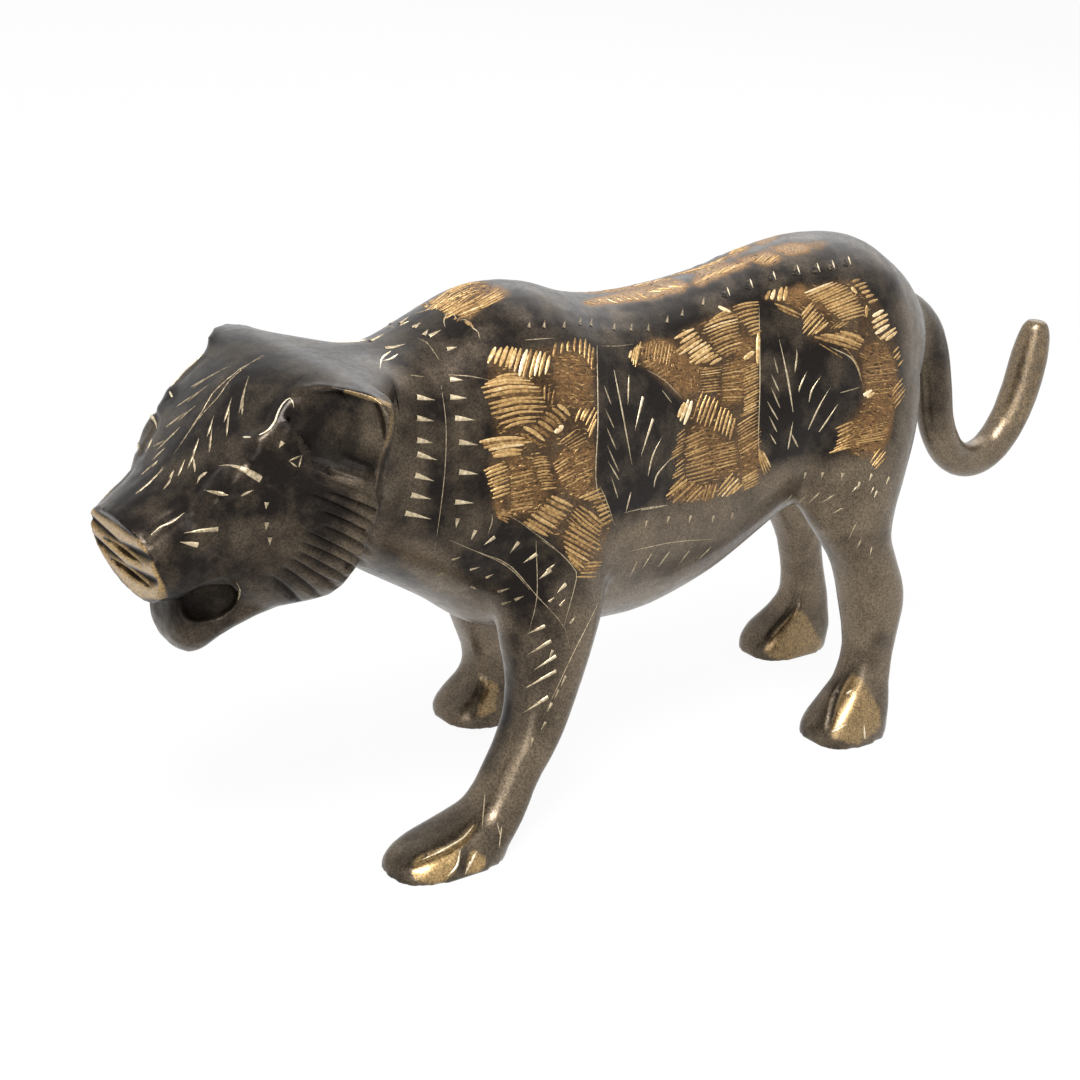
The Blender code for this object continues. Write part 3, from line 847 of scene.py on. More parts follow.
@dataclass
class Engraving:
    """Strokes of one field, gathered into one piece.

    A stroke is a low roof of brass with a keel inside the skin, so it catches the light
    on one side as the burr of a cut does.

    Attributes:
        name: Name of the piece.
        camera: Camera whose rays carry the strokes onto the skin.
        skins: Search trees of the skins that carry strokes.
        height: Height of a stroke's ridge above the skin, as a share of its width.
        keel: Depth of the keel below the skin.
        most_lift: Greatest height of a ridge.
        least_lift: Height added to every ridge, so that it stays above the skin.
        sunk: Depth of the stroke's sides below the skin.
        top: Width of the ridge, as a share of the stroke's.
        leap: Longest step between sections, as a share of the stroke's length.
        leap_more: Length added to that step.
        seed: Start of the piece's random draws.
        strokes: Corners of the laid strokes, by number of sections.
        tones: Brightness of the same strokes.
    """

    name: str
    camera: PhotoCamera
    skins: list[BVHTree]
    height: float = 0.16
    keel: float = 0.12 * MM
    most_lift: float = 0.09 * MM
    least_lift: float = 0.01 * MM
    sunk: float = 0.03 * MM
    top: float = 0.45
    leap: float = 0.45
    leap_more: float = 0.5 * MM
    seed: int = 1
    strokes: dict[int, list[np.ndarray]] = field(default_factory=dict)
    tones: dict[int, list[float]] = field(default_factory=dict)

    def __post_init__(self) -> None:
        """Start the piece's own random draws."""
        self.random = random.Random(self.seed)

    def land(self, pixel: Pixel, side: Side) -> tuple[Vector, Vector] | None:
        """Find the skin under a pixel.

        Args:
            pixel: Place in the photograph.
            side: Flank that the ray is meant for.

        Returns:
            The nearest place on the skin and the outward direction there, if it is hit.
        """
        start, way = self.camera.ray(pixel, side)
        best = None
        for tree in self.skins:
            place, normal, _, distance = tree.ray_cast(start, way)
            if place is not None and (best is None or distance < best[2]):
                best = (place, normal, distance)
        return None if best is None else (best[0], best[1])

    def stroke(
        self,
        route: Pixels,
        width: float,
        cut: Cut = Cut.LINE,
        side: Side = Side.NEAR,
        stations: int = 6,
        tone: float = 0.5,
    ) -> bool:
        """Lay one stroke along a route of pixels.

        Args:
            route: Pixels of the stroke's middle line.
            width: Full width of the stroke.
            cut: Shape of the stroke seen from above.
            side: Flank that takes the stroke.
            stations: How many sections the stroke has.
            tone: Brightness of the cut, from 0 to 1.

        Returns:
            True if the whole stroke lies on the skin.
        """
        shares = np.linspace(0, 1, stations)
        landed = [self.land(pixel, side) for pixel in along(route, shares)]
        if any(spot is None for spot in landed):
            return False
        places = [spot[0] for spot in landed]
        normals = [spot[1] for spot in landed]
        length = sum((b - a).length for a, b in zip(places, places[1:]))
        longest = self.leap * length + self.leap_more
        if any((b - a).length > longest for a, b in zip(places, places[1:])):
            return False
        widths = np.interp(shares, np.linspace(0, 1, len(cut.value)), cut.value) * width / 2
        corners = np.empty((stations, 5, 3))
        for index, (place, normal, half) in enumerate(zip(places, normals, widths)):
            before, after = places[max(index - 1, 0)], places[min(index + 1, stations - 1)]
            run = after - before
            if run.length < 1e-7:
                return False
            across = run.cross(normal).normalized() * half
            lift = normal * (min(half * 2 * self.height, self.most_lift) + self.least_lift)
            corners[index, 0] = place + across - normal * self.sunk
            corners[index, 1] = place + across * self.top + lift
            corners[index, 2] = place - across * self.top + lift
            corners[index, 3] = place - across - normal * self.sunk
            corners[index, 4] = place - normal * self.keel
        self.strokes.setdefault(stations, []).append(corners.reshape(-1, 3))
        self.tones.setdefault(stations, []).append(tone)
        return True

    def both(
        self,
        routes: tuple[Pixels, ...],
        width: float,
        cut: Cut,
        stations: int = 6,
        tone: float = 0.55,
    ) -> None:
        """Lay strokes on the near flank and mirror them on the far one.

        Args:
            routes: Middle lines of the strokes.
            width: Full width of the strokes.
            cut: Shape of the strokes seen from above.
            stations: How many sections each stroke has.
            tone: Middle of the strokes' brightness.
        """
        for route in routes:
            for side in Side:
                drawn = tone + self.random.uniform(-0.2, 0.2)
                self.stroke(route, width, cut, side, stations, drawn)

    def blank(self, stations: int) -> bpy.types.Mesh:
        """Make the bar that every stroke with so many sections is a copy of.

        Args:
            stations: How many sections the stroke has.

        Returns:
            A five-sided bar with a cap at its far end. The end where it starts is open.
        """
        shape = bmesh.new()
        ring = bmesh.ops.create_circle(shape, segments=5, radius=1, cap_ends=True)["verts"]
        face = next(iter(ring[0].link_faces))
        for _ in range(stations - 1):
            made = bmesh.ops.extrude_face_region(shape, geom=[face])["geom"]
            bmesh.ops.delete(shape, geom=[face], context="FACES_ONLY")
            face = next(part for part in made if isinstance(part, bmesh.types.BMFace))
            moved = [part for part in made if isinstance(part, bmesh.types.BMVert)]
            bmesh.ops.translate(shape, vec=(0, 0, 1), verts=moved)
        shape.verts.index_update()
        mesh = bpy.data.meshes.new("stroke_blank")
        shape.to_mesh(mesh)
        shape.free()
        return mesh

    def build(self, material: bpy.types.Material) -> bpy.types.Object | None:
        """Copy the blank for each stroke and lay the copies out.

        Args:
            material: Finish of the strokes.

        Returns:
            The finished piece, or None if it has no stroke.
        """
        if not self.strokes:
            return None
        shape = bmesh.new()
        places: list[np.ndarray] = []
        tones: list[np.ndarray] = []
        for stations, laid in sorted(self.strokes.items()):
            blank = self.blank(stations)
            order = self.ring_order(blank, stations)
            for corners, tone in zip(laid, self.tones[stations]):
                shape.from_mesh(blank)
                places.append(corners[order])
                tones.append(np.full(len(corners), tone, dtype=np.float32))
            bpy.data.meshes.remove(blank)
        mesh = bpy.data.meshes.new(self.name)
        shape.to_mesh(mesh)
        shape.free()
        mesh.vertices.foreach_set("co", np.concatenate(places).ravel())
        layer = mesh.attributes.new("tone", "FLOAT", "POINT")
        layer.data.foreach_set("value", np.concatenate(tones))
        shape = bmesh.new()
        shape.from_mesh(mesh)
        bmesh.ops.recalc_face_normals(shape, faces=shape.faces)
        shape.to_mesh(mesh)
        shape.free()
        mesh.materials.append(material)
        piece = bpy.data.objects.new(self.name, mesh)
        bpy.context.collection.objects.link(piece)
        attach(piece, BODY)
        count = sum(len(laid) for laid in self.strokes.values())
        LOG.info("%s: %d strokes, %d faces", self.name, count, len(mesh.polygons))
        return piece

    def ring_order(self, blank: bpy.types.Mesh, stations: int) -> np.ndarray:
        """Match the blank's corners to a stroke's.

        Args:
            blank: The bar.
            stations: How many sections it has.

        Returns:
            For each corner of the blank, its place in the list of laid corners.
        """
        order = np.empty(stations * 5, dtype=int)
        for corner in blank.vertices:
            level = round(corner.co.z)
            turn = round(math.atan2(corner.co.y, corner.co.x) / (math.tau / 5)) % 5
            order[corner.index] = level * 5 + turn
        return order


@dataclass(frozen=True)
class Ladder:
    """A row of strokes laid side by side, as the graver walks across a patch.

    Attributes:
        starts: Pixels along which the strokes start.
        ends: Pixels along which they end.
        count: How many strokes there are.
        width: Width of a stroke, in mm.
        tone: Brightness of the strokes: 0 is dull, 1 is bright, below 0 is dirt.
        bow: Bend of a stroke to one side, as a share of its length.
    """

    starts: Pixels
    ends: Pixels
    count: int
    width: float = 0.46
    tone: float = 0.5
    bow: float = 0.0


@dataclass(frozen=True)
class Ground:
    """A patch of skin that was scraped before or while it was hatched.

    Attributes:
        outline: Corners of the patch.
        level: How bare it is, from 0 to 1.
        angle: Direction of the fine dents on it, degrees clockwise from level.
        dents: Square pixels to a dent; 0 leaves them out.
    """

    outline: Pixels
    level: float
    angle: float = 0.0
    dents: float = 0.0


@dataclass(frozen=True)
class HatchField:
    """A field of hatching.

    Attributes:
        name: Name of the piece that its strokes make.
        grounds: Scraped patches under the strokes.
        ladders: Rows of strokes.
    """

    name: str
    grounds: tuple[Ground, ...]
    ladders: tuple[Ladder, ...]


SHOULDER = HatchField(
    "shoulder_hatching",
    (
        Ground(((492, 350), (520, 352), (551, 347), (575, 344), (596, 350), (597, 380), (595, 415),
            (595, 480), (604, 502), (612, 524), (604, 545), (602, 562), (594, 578), (580, 572),
            (566, 556), (556, 536), (540, 528), (520, 522), (496, 512), (492, 500), (489, 469),
            (492, 441), (496, 430), (492, 415), (486, 388)), 0.3, -10, 42),
        Ground(((554, 356), (572, 352), (590, 360), (593, 405), (575, 409), (560, 404), (555, 394),
            (562, 388), (554, 378)), 0.95, 20, 26),
        Ground(((555, 460), (566, 447), (594, 446), (595, 490), (575, 500), (560, 485)), 0.95, -35,
            20),
        Ground(((508, 455), (530, 457), (540, 480), (546, 500), (536, 512), (512, 514), (508, 480)),
            0.85, -15, 18),
        Ground(((491, 501), (501, 501), (505, 512), (497, 512)), 1.0),
        Ground(((486, 384), (500, 378), (520, 376), (540, 388), (540, 400), (510, 404)), 0.7),
    ),
    (
        Ladder(((494, 346), (520, 349), (540, 351), (552, 356)), ((486, 362), (509, 370),
            (526, 378), (548, 374)), 12, 0.62, 0.95),
        Ladder(((554, 343), (572, 340), (585, 340), (596, 350)), ((551, 356), (571, 351),
            (583, 357), (594, 372)), 8, 0.5, 0.45),
        Ladder(((497, 376), (481, 388), (486, 398), (489, 406), (492, 415), (499, 423), (505, 430)),
            ((520, 373), (534, 383), (542, 391), (545, 400), (545, 407), (541, 414), (534, 423)),
            12, 0.52, 0.68, -0.06),
        Ladder(((543, 384), (557, 392)), ((543, 399), (554, 405)), 3, 0.35, 0.3),
        Ladder(((560, 402), (550, 408), (545, 414), (540, 420), (532, 424), (523, 428), (519, 436)),
            ((571, 412), (566, 419), (561, 425), (556, 430), (551, 436), (546, 441), (538, 446)), 8,
            0.66, 0.42, -0.05),
        Ladder(((578, 409), (587, 409), (595, 408), (597, 420)), ((572, 424), (582, 421),
            (587, 430), (590, 438)), 6, 0.5, 0.6),
        Ladder(((565, 426), (563, 424)), ((556, 434), (554, 432)), 1, 1.0, 1.6),
        Ladder(((559, 441), (566, 446), (571, 450)), ((575, 428), (584, 436), (590, 441)), 5, 0.26,
            0.4),
        Ladder(((479, 440), (480, 443), (486, 449), (491, 454), (493, 459)), ((520, 437),
            (532, 441), (522, 446), (522, 451), (518, 457)), 6, 0.6, 0.75, -0.04),
        Ladder(((532, 457), (534, 465), (537, 473), (539, 480), (541, 491)), ((547, 455),
            (550, 463), (551, 472), (553, 482), (557, 489)), 12, 0.34, 0.5, -0.05),
        Ladder(((484, 469), (486, 477), (488, 484), (491, 491), (493, 500)), ((503, 461),
            (508, 469), (508, 476), (509, 484), (510, 494)), 9, 0.46, 0.5),
        Ladder(((510, 470), (511, 490), (510, 512)), ((533, 464), (533, 484), (534, 508)), 11, 0.34,
            0.45),
        Ladder(((495, 511), (498, 518)), ((514, 509), (508, 524)), 5, 0.4, 0.4),
        Ladder(((553, 494), (547, 499), (543, 505), (537, 509), (531, 514), (527, 520), (521, 523)),
            ((573, 503), (570, 511), (564, 517), (560, 523), (557, 529), (552, 534), (546, 538)), 8,
            0.66, 0.55),
        Ladder(((553, 462), (557, 476), (564, 490)), ((568, 452), (572, 468), (580, 482)), 9, 0.3,
            0.5),
        Ladder(((568, 455), (574, 470), (576, 486)), ((590, 447), (592, 462), (593, 478)), 9, 0.26,
            0.35),
        Ladder(((576, 498), (590, 502), (597, 511), (600, 519), (600, 528)), ((600, 487),
            (604, 496), (608, 504), (610, 512), (612, 521)), 9, 0.46, 0.5),
        Ladder(((590, 508), (578, 518), (567, 528), (563, 540), (566, 553), (572, 562)),
            ((602, 520), (600, 534), (600, 546), (594, 556), (586, 566), (580, 574)), 13, 0.5,
            0.58),
        Ladder(((580, 504), (572, 512), (566, 521)), ((592, 512), (588, 524), (580, 536)), 6, 0.3,
            0.4),
        Ladder(((576, 578), (582, 570), (586, 562)), ((596, 578), (598, 570), (604, 560)), 5, 0.36,
            0.55),
    ),
)

SADDLE = HatchField(
    "saddle_hatching",
    (
        Ground(((634, 348), (650, 338), (675, 338), (682, 330), (706, 318), (730, 306), (757, 303),
            (759, 360), (757, 420), (760, 448), (766, 466), (758, 484), (740, 490), (700, 500),
            (674, 500), (672, 488), (684, 470), (678, 450), (684, 432), (686, 418), (684, 400),
            (665, 385), (645, 368), (636, 364)), 0.3, -10, 42),
        Ground(((641, 345), (655, 338), (672, 343), (688, 356), (700, 368), (698, 392), (685, 398),
            (668, 386), (655, 372), (641, 362)), 0.95, 80, 26),
        Ground(((735, 336), (755, 337), (755, 364), (742, 402), (722, 404), (724, 372), (737, 356)),
            0.9, 0, 26),
        Ground(((700, 424), (712, 428), (722, 440), (736, 446), (738, 470), (722, 480), (702, 472),
            (688, 455), (690, 434)), 0.85, -15, 22),
        Ground(((740, 432), (758, 440), (762, 468), (752, 484), (740, 478)), 0.9, -20, 20),
        Ground(((676, 482), (716, 484), (712, 500), (672, 501)), 0.75, -45, 24),
    ),
    (
        Ladder(((630, 351), (636, 347), (642, 341)), ((627, 358), (632, 362), (636, 370)), 4, 0.5,
            0.75),
        Ladder(((646, 341), (674, 345)), ((644, 358), (670, 366)), 9, 0.24, 0.45),
        Ladder(((640, 362), (662, 380)), ((648, 358), (674, 372)), 6, 0.26, 0.3),
        Ladder(((691, 328), (699, 334), (702, 341), (708, 344), (712, 350), (718, 354), (723, 360)),
            ((673, 336), (679, 343), (677, 354), (690, 354), (689, 364), (705, 363), (711, 368)),
            10, 0.58, 0.95),
        Ladder(((727, 309), (738, 317), (738, 326), (739, 334), (742, 342), (741, 351)),
            ((713, 318), (703, 328), (709, 338), (711, 345), (716, 352), (724, 358)), 14, 0.36, 0.6,
            0.04),
        Ladder(((757, 300), (758, 307), (758, 313), (760, 321), (761, 327), (762, 332)),
            ((731, 305), (735, 313), (737, 320), (745, 326), (749, 332), (752, 337)), 9, 0.4, 0.6,
            0.04),
        Ladder(((718, 305), (719, 308)), ((730, 310), (730, 313)), 1, 0.85, 1.5),
        Ladder(((753, 351), (754, 353)), ((744, 358), (745, 360)), 1, 0.8, 1.3),
        Ladder(((758, 334), (759, 334)), ((757, 363), (758, 363)), 1, 0.75, 1.3),
        Ladder(((701, 368), (700, 380), (702, 394)), ((722, 365), (720, 378), (720, 392)), 9, 0.28,
            0.4),
        Ladder(((722, 364), (722, 380), (722, 402)), ((745, 358), (744, 378), (742, 402)), 12, 0.26,
            0.42),
        Ladder(((742, 368), (743, 386), (745, 404), (741, 418)), ((758, 361), (759, 380),
            (758, 398), (758, 411)), 17, 0.34, 0.5),
        Ladder(((683, 403), (689, 401), (694, 402)), ((677, 414), (681, 421), (686, 427)), 3, 0.8,
            1.35),
        Ladder(((701, 390), (709, 396), (716, 400), (722, 406), (729, 410), (737, 419)),
            ((691, 417), (700, 424), (708, 427), (717, 431), (725, 436), (731, 442)), 10, 0.52,
            0.72),
        Ladder(((677, 434), (676, 445), (671, 458), (675, 470), (671, 481)), ((685, 427),
            (686, 438), (682, 452), (684, 462), (684, 474)), 12, 0.3, 0.35),
        Ladder(((684, 437), (686, 450), (686, 462), (685, 474), (690, 484)), ((705, 427),
            (706, 441), (709, 452), (717, 466), (720, 477)), 13, 0.33, 0.45),
        Ladder(((710, 446), (714, 456), (716, 470)), ((735, 440), (738, 452), (738, 464)), 8, 0.28,
            0.4),
        Ladder(((737, 424), (737, 440), (740, 456)), ((757, 411), (760, 428), (761, 443)), 10, 0.3,
            0.45),
        Ladder(((758, 454), (759, 449), (764, 452)), ((764, 476), (768, 471), (772, 466)), 4, 0.42,
            0.7),
        Ladder(((683, 474), (690, 480), (697, 483), (703, 486), (708, 490)), ((671, 487),
            (665, 499), (674, 503), (684, 503), (696, 501)), 7, 0.56, 0.38),
        Ladder(((705, 486), (718, 484)), ((700, 501), (713, 499)), 4, 0.4, 0.35),
        Ladder(((731, 473), (735, 477), (739, 481), (744, 485)), ((720, 487), (718, 497),
            (726, 496), (734, 493)), 5, 0.5, 0.85),
        Ladder(((741, 478), (744, 491)), ((756, 469), (759, 484)), 6, 0.34, 0.6),
    ),
)

HAUNCH = HatchField(
    "haunch_hatching",
    (
        Ground(((763, 297), (785, 288), (812, 284), (848, 279), (864, 286), (878, 302), (890, 328),
            (897, 350), (900, 380), (896, 405), (892, 430), (886, 455), (868, 460), (845, 452),
            (838, 440), (838, 428), (856, 414), (863, 396), (860, 372), (852, 352), (830, 344),
            (810, 338), (804, 322), (798, 312), (780, 304)), 0.3, 20, 42),
        Ground(((786, 290), (803, 285), (808, 296), (801, 307), (787, 302)), 1.0),
        Ground(((864, 343), (884, 342), (894, 360), (898, 390), (893, 420), (888, 440), (880, 455),
            (855, 450), (841, 440), (842, 430), (861, 415), (867, 397), (863, 368)), 0.92, -10, 17),
        Ground(((808, 290), (840, 284), (858, 298), (856, 310), (830, 312), (812, 306)), 0.7),
    ),
    (
        Ladder(((763, 300), (775, 301), (787, 302)), ((768, 291), (779, 288), (789, 287)), 4, 0.7,
            0.5),
        Ladder(((775, 303), (777, 308)), ((800, 313), (799, 319)), 2, 0.45, 0.4),
        Ladder(((804, 291), (808, 297), (814, 301), (822, 304), (829, 310), (836, 316), (843, 322)),
            ((831, 281), (845, 286), (850, 291), (857, 297), (860, 303), (864, 310), (866, 316)),
            14, 0.42, 0.8),
        Ladder(((811, 301), (815, 308), (819, 314), (824, 319), (829, 325)), ((801, 313),
            (803, 323), (803, 332), (807, 336), (818, 333)), 8, 0.4, 0.65),
        Ladder(((829, 329), (840, 328)), ((838, 322), (850, 322)), 3, 0.3, 0.35),
        Ladder(((809, 338), (818, 335), (833, 334), (843, 329)), ((857, 351), (860, 347),
            (862, 343), (866, 339)), 5, 0.66, 0.5, -0.04),
        Ladder(((818, 343), (820, 344)), ((841, 357), (842, 358)), 1, 0.3, 0.4),
        Ladder(((845, 347), (847, 349)), ((863, 383), (862, 384)), 1, 0.42, 0.4, -0.08),
        Ladder(((848, 281), (856, 287), (864, 295), (870, 305)), ((859, 277), (866, 283),
            (872, 292), (880, 301)), 6, 0.46, 0.6),
        Ladder(((873, 313), (872, 323), (874, 333), (881, 340), (888, 341)), ((883, 307),
            (887, 315), (890, 324), (895, 329), (898, 335)), 6, 0.66, 1.35),
        Ladder(((892, 351), (895, 359), (898, 368)), ((899, 343), (901, 352), (903, 362)), 4, 0.42,
            0.55),
        Ladder(((850, 285), (852, 288)), ((857, 293), (858, 295)), 1, 0.9, 1.4),
        Ladder(((866, 306), (868, 306)), ((865, 316), (868, 317)), 1, 0.8, 0.6),
        Ladder(((892, 390), (893, 399), (895, 410)), ((902, 377), (904, 386), (905, 396)), 5, 0.36,
            0.5),
        Ladder(((862, 395), (868, 399)), ((871, 389), (876, 394)), 2, 0.7, 1.4),
        Ladder(((836, 427), (837, 433), (836, 444), (833, 451), (826, 454)), ((853, 420),
            (852, 428), (853, 438), (852, 444), (850, 449)), 8, 0.4, 0.55),
        Ladder(((870, 462), (873, 466), (876, 470)), ((880, 447), (884, 452), (888, 457)), 4, 0.36,
            0.5),
        Ladder(((864, 352), (863, 372), (868, 400)), ((888, 346), (896, 372), (894, 398)), 13, 0.22,
            0.3),
        Ladder(((850, 432), (856, 444)), ((890, 420), (886, 440)), 7, 0.24, 0.35),
    ),
)

WITHERS = HatchField(
    "withers_hatching",
    (
        Ground(((438, 309), (446, 300), (456, 290), (478, 284), (500, 286), (508, 293), (500, 300),
            (484, 305), (478, 312), (470, 320), (458, 316), (450, 310)), 0.85, -40, 22),
    ),
    (
        Ladder(((424, 311), (433, 309), (441, 310)), ((448, 293), (450, 297), (456, 299)), 5, 0.42,
            0.7),
        Ladder(((448, 304), (455, 309), (454, 314), (462, 318)), ((466, 288), (478, 290),
            (490, 298), (478, 312)), 11, 0.34, 0.55),
        Ladder(((476, 302), (482, 309)), ((498, 289), (506, 297)), 6, 0.32, 0.7),
        Ladder(((452, 320), (458, 322)), ((456, 316), (460, 319)), 2, 0.3, 0.5),
        Ladder(((464, 322), (470, 320)), ((468, 325), (475, 329)), 2, 0.36, 0.6),
    ),
)

SPINE = HatchField(
    "spine_hatching",
    (
        Ground(((580, 304), (600, 297), (640, 289), (660, 284), (678, 280), (688, 284), (684, 290),
            (660, 296), (640, 301), (610, 303), (592, 306)), 1.5, -10, 30),
        Ground(((692, 284), (700, 271), (730, 263), (750, 261), (748, 266), (730, 272), (700, 286)),
            1.5, -25, 26),
        Ground(((735, 260), (752, 255), (768, 251), (780, 256), (778, 262), (765, 265), (752, 262)),
            1.5, -20, 20),
        Ground(((769, 248), (785, 244), (800, 243), (812, 247), (806, 253), (790, 255), (779, 252)),
            1.5),
        Ground(((804, 244), (818, 240), (830, 242), (820, 250)), 0.6),
    ),
    (
        Ladder(((580, 302), (600, 299), (640, 292)), ((592, 305), (614, 303), (652, 298)), 8, 0.3,
            0.7),
        Ladder(((645, 292), (672, 285)), ((660, 292), (688, 286)), 6, 0.3, 0.8),
        Ladder(((694, 284), (712, 277), (735, 268)), ((706, 276), (724, 268), (748, 262)), 12, 0.3,
            0.75),
        Ladder(((753, 263), (770, 263)), ((762, 255), (780, 256)), 5, 0.3, 0.8),
    ),
)

FIELDS = (SHOULDER, SADDLE, HAUNCH, WITHERS, SPINE)


@dataclass(frozen=True)
class Rub:
    """A place where the patina is filed or rubbed off down to the brass.

    Attributes:
        outline: Corners of the place, as pixels.
        level: How bare it is, from 0 to 1.
        both: True if both flanks have it.
        facing: Least squareness to the camera of the skin that it takes.
    """

    outline: Pixels
    level: float = 1.0
    both: bool = False
    facing: float = 0.05


RUBS = (
    # sawn face of the muzzle
    Rub(((84, 510), (95, 512), (107, 515), (127, 532), (141, 541), (151, 559), (163, 582),
        (169, 598), (158, 600), (140, 598), (120, 588), (102, 574), (88, 554), (82, 530)), 1.0,
        True, 0.2),
    # near front paw
    Rub(((475, 822), (466, 837), (455, 846), (440, 853), (425, 857), (414, 864), (412, 873),
        (416, 881), (428, 885), (443, 882), (452, 876), (459, 862), (461, 848), (470, 838))),
    Rub(((468, 852), (476, 849), (485, 858), (487, 868), (477, 873), (465, 875))),
    # near hind paw
    Rub(((850, 672), (846, 679), (837, 696), (834, 712), (829, 728), (832, 740), (846, 743),
        (858, 745), (870, 738), (881, 729), (881, 710), (874, 697), (863, 681), (855, 673)), 0.7),
    # far hind paw
    Rub(((796, 607), (786, 618), (772, 632), (766, 643), (762, 655), (776, 660), (800, 661),
        (826, 655), (824, 643), (815, 628), (806, 612)), 0.6),
    # far front paw
    Rub(((474, 668), (486, 678), (500, 682), (496, 712), (476, 722), (477, 704), (483, 688)), 0.6),
    # tip of the tail
    Rub(((1004, 432), (990, 412), (1000, 385), (1010, 350), (1016, 315), (1052, 312), (1052, 350),
        (1042, 398), (1020, 436)), 0.36, True, -1.1),
)


# Where the patina is worn thin and brown: pixels of the middle, width in mm, and how
# thin. Below 0 the strip is darker than round about; down the foreleg's front edge that
# is painted shade.
WORN_AND_SHADED = (
    (((404, 400), (402, 450), (400, 500), (390, 548)), 13.0, 0.32),
    (((378, 412), (378, 432), (373, 456)), 7.0, 0.45),
    (((376, 486), (370, 530), (345, 578), (318, 592)), 10.0, 0.55),
    (((330, 470), (352, 480), (376, 486)), 4.0, 0.5),
    (((250, 540), (285, 535), (300, 560)), 9.0, 0.4),
    (((420, 560), (452, 590), (480, 620)), 9.0, 0.75),
    (((468, 400), (464, 470), (466, 540)), 9.0, 0.3),
    (((560, 660), (590, 620), (606, 580)), 9.0, 0.7),
    (((625, 552), (700, 524), (760, 500)), 14.0, 0.8),
    (((790, 490), (850, 484), (895, 470)), 14.0, 0.8),
    (((808, 522), (850, 518), (892, 512)), 12.0, 0.85),
    (((912, 300), (918, 380), (910, 460)), 9.0, 0.6),
    (((526, 598), (538, 650), (522, 716)), 13.0, -0.45),
    # painted shade down the foreleg's front edge, which faces away from the light
    (((508, 640), (504, 700), (488, 764)), 5.0, -0.4),
    (((838, 690), (868, 660), (880, 640)), 5.0, -0.3),
)


# Edges rubbed down to the brass: pixels of the middle, width in mm, and how bare. Along the ear's
# rim the brass is partly a painted highlight.
RUBBED_AND_HIGHLIT_EDGES = (
    # partly painted highlight: the bright edge of the ear's top rim and of its rear lip
    (((345, 392), (365, 397), (388, 404)), 1.0, 0.55),
    (((389, 405), (392, 418), (389, 436), (382, 455), (379, 472)), 1.0, 0.5),
    (((474, 826), (464, 838), (452, 846), (436, 853), (418, 860)), 1.2, 1.0),
)


@dataclass
class Hatcher:
    """Fills a field with strokes on both flanks.

    Attributes:
        engraving: Piece that takes the strokes.
        jitter_px: How far a stroke's ends may be off, in pixels.
        loose: How far a stroke may be off its place in the row, as a share of the pitch.
        bend: Spread of the strokes' own bends, as a share of their length.
        widths: Least and greatest width of a stroke, as shares of the row's.
        tone_spread: Spread of the strokes' brightness.
        dent_width: Width of a dent.
        dent_length_px: Length of a dent, in pixels.
        dent_turn: Spread of the dents' directions, in degrees.
        dent_tones: Brightnesses that a dent may have.
    """

    engraving: Engraving
    jitter_px: float = 1.3
    loose: float = 0.16
    bend: float = 0.012
    widths: tuple[float, float] = (0.95, 1.3)
    tone_spread: float = 0.22
    dent_width: float = 0.2 * MM
    dent_length_px: float = 5.0
    dent_turn: float = 14
    dent_tones: tuple[float, ...] = (-0.6, -0.3, 0.2, 0.6)

    def fill(self, hatch: HatchField) -> None:
        """Fill one field.

        Args:
            hatch: The field.
        """
        for ladder in hatch.ladders:
            self.climb(ladder)
        for ground in hatch.grounds:
            if ground.dents:
                self.dent(ground)

    def climb(self, ladder: Ladder) -> None:
        """Lay the strokes of one row, each a little off its place as a hand leaves it.

        Args:
            ladder: The row.
        """
        draw = self.engraving.random
        for rung in range(ladder.count):
            off = 0.0 if ladder.count == 1 else draw.uniform(-self.loose, self.loose)
            share = min(max((rung + 0.5 + off) / ladder.count, 0), 1)
            start = np.array(along(ladder.starts, np.array((share,)))[0])
            end = np.array(along(ladder.ends, np.array((share,)))[0])
            run = end - start
            run /= max(float(np.linalg.norm(run)), 1e-6)
            start = start + run * draw.uniform(-1, 1) * self.jitter_px
            end = end + run * draw.uniform(-1, 1) * self.jitter_px
            side_step = np.array((-run[1], run[0])) * np.linalg.norm(end - start)
            middle = (start + end) / 2 + side_step * (ladder.bow + draw.gauss(0, self.bend))
            width = ladder.width * draw.uniform(*self.widths) * MM
            tone = ladder.tone + draw.gauss(0, self.tone_spread)
            for side in Side:
                route = (tuple(start), tuple(middle), tuple(end))
                self.engraving.stroke(route, width, Cut.BAR, side, 5, tone)

    def dent(self, ground: Ground) -> None:
        """Scatter fine dents over a scraped patch.

        Args:
            ground: The patch.
        """
        draw = self.engraving.random
        corners = np.array(ground.outline)
        low, high = corners.min(axis=0), corners.max(axis=0)
        tries = int(np.prod(high - low) / ground.dents)
        for _ in range(tries):
            spot = np.array((draw.uniform(low[0], high[0]), draw.uniform(low[1], high[1])))
            turn = math.radians(ground.angle + draw.gauss(0, self.dent_turn))
            run = np.array((math.cos(turn), math.sin(turn)))
            half = run * self.dent_length_px * draw.uniform(0.3, 0.7)
            if not inside(np.array((spot - half, spot + half)), ground.outline).all():
                continue
            tone = draw.choice(self.dent_tones)
            width = self.dent_width * draw.uniform(0.8, 1.6)
            for side in Side:
                route = (tuple(spot - half), tuple(spot + half))
                self.engraving.stroke(route, width, Cut.LINE, side, 3, tone)


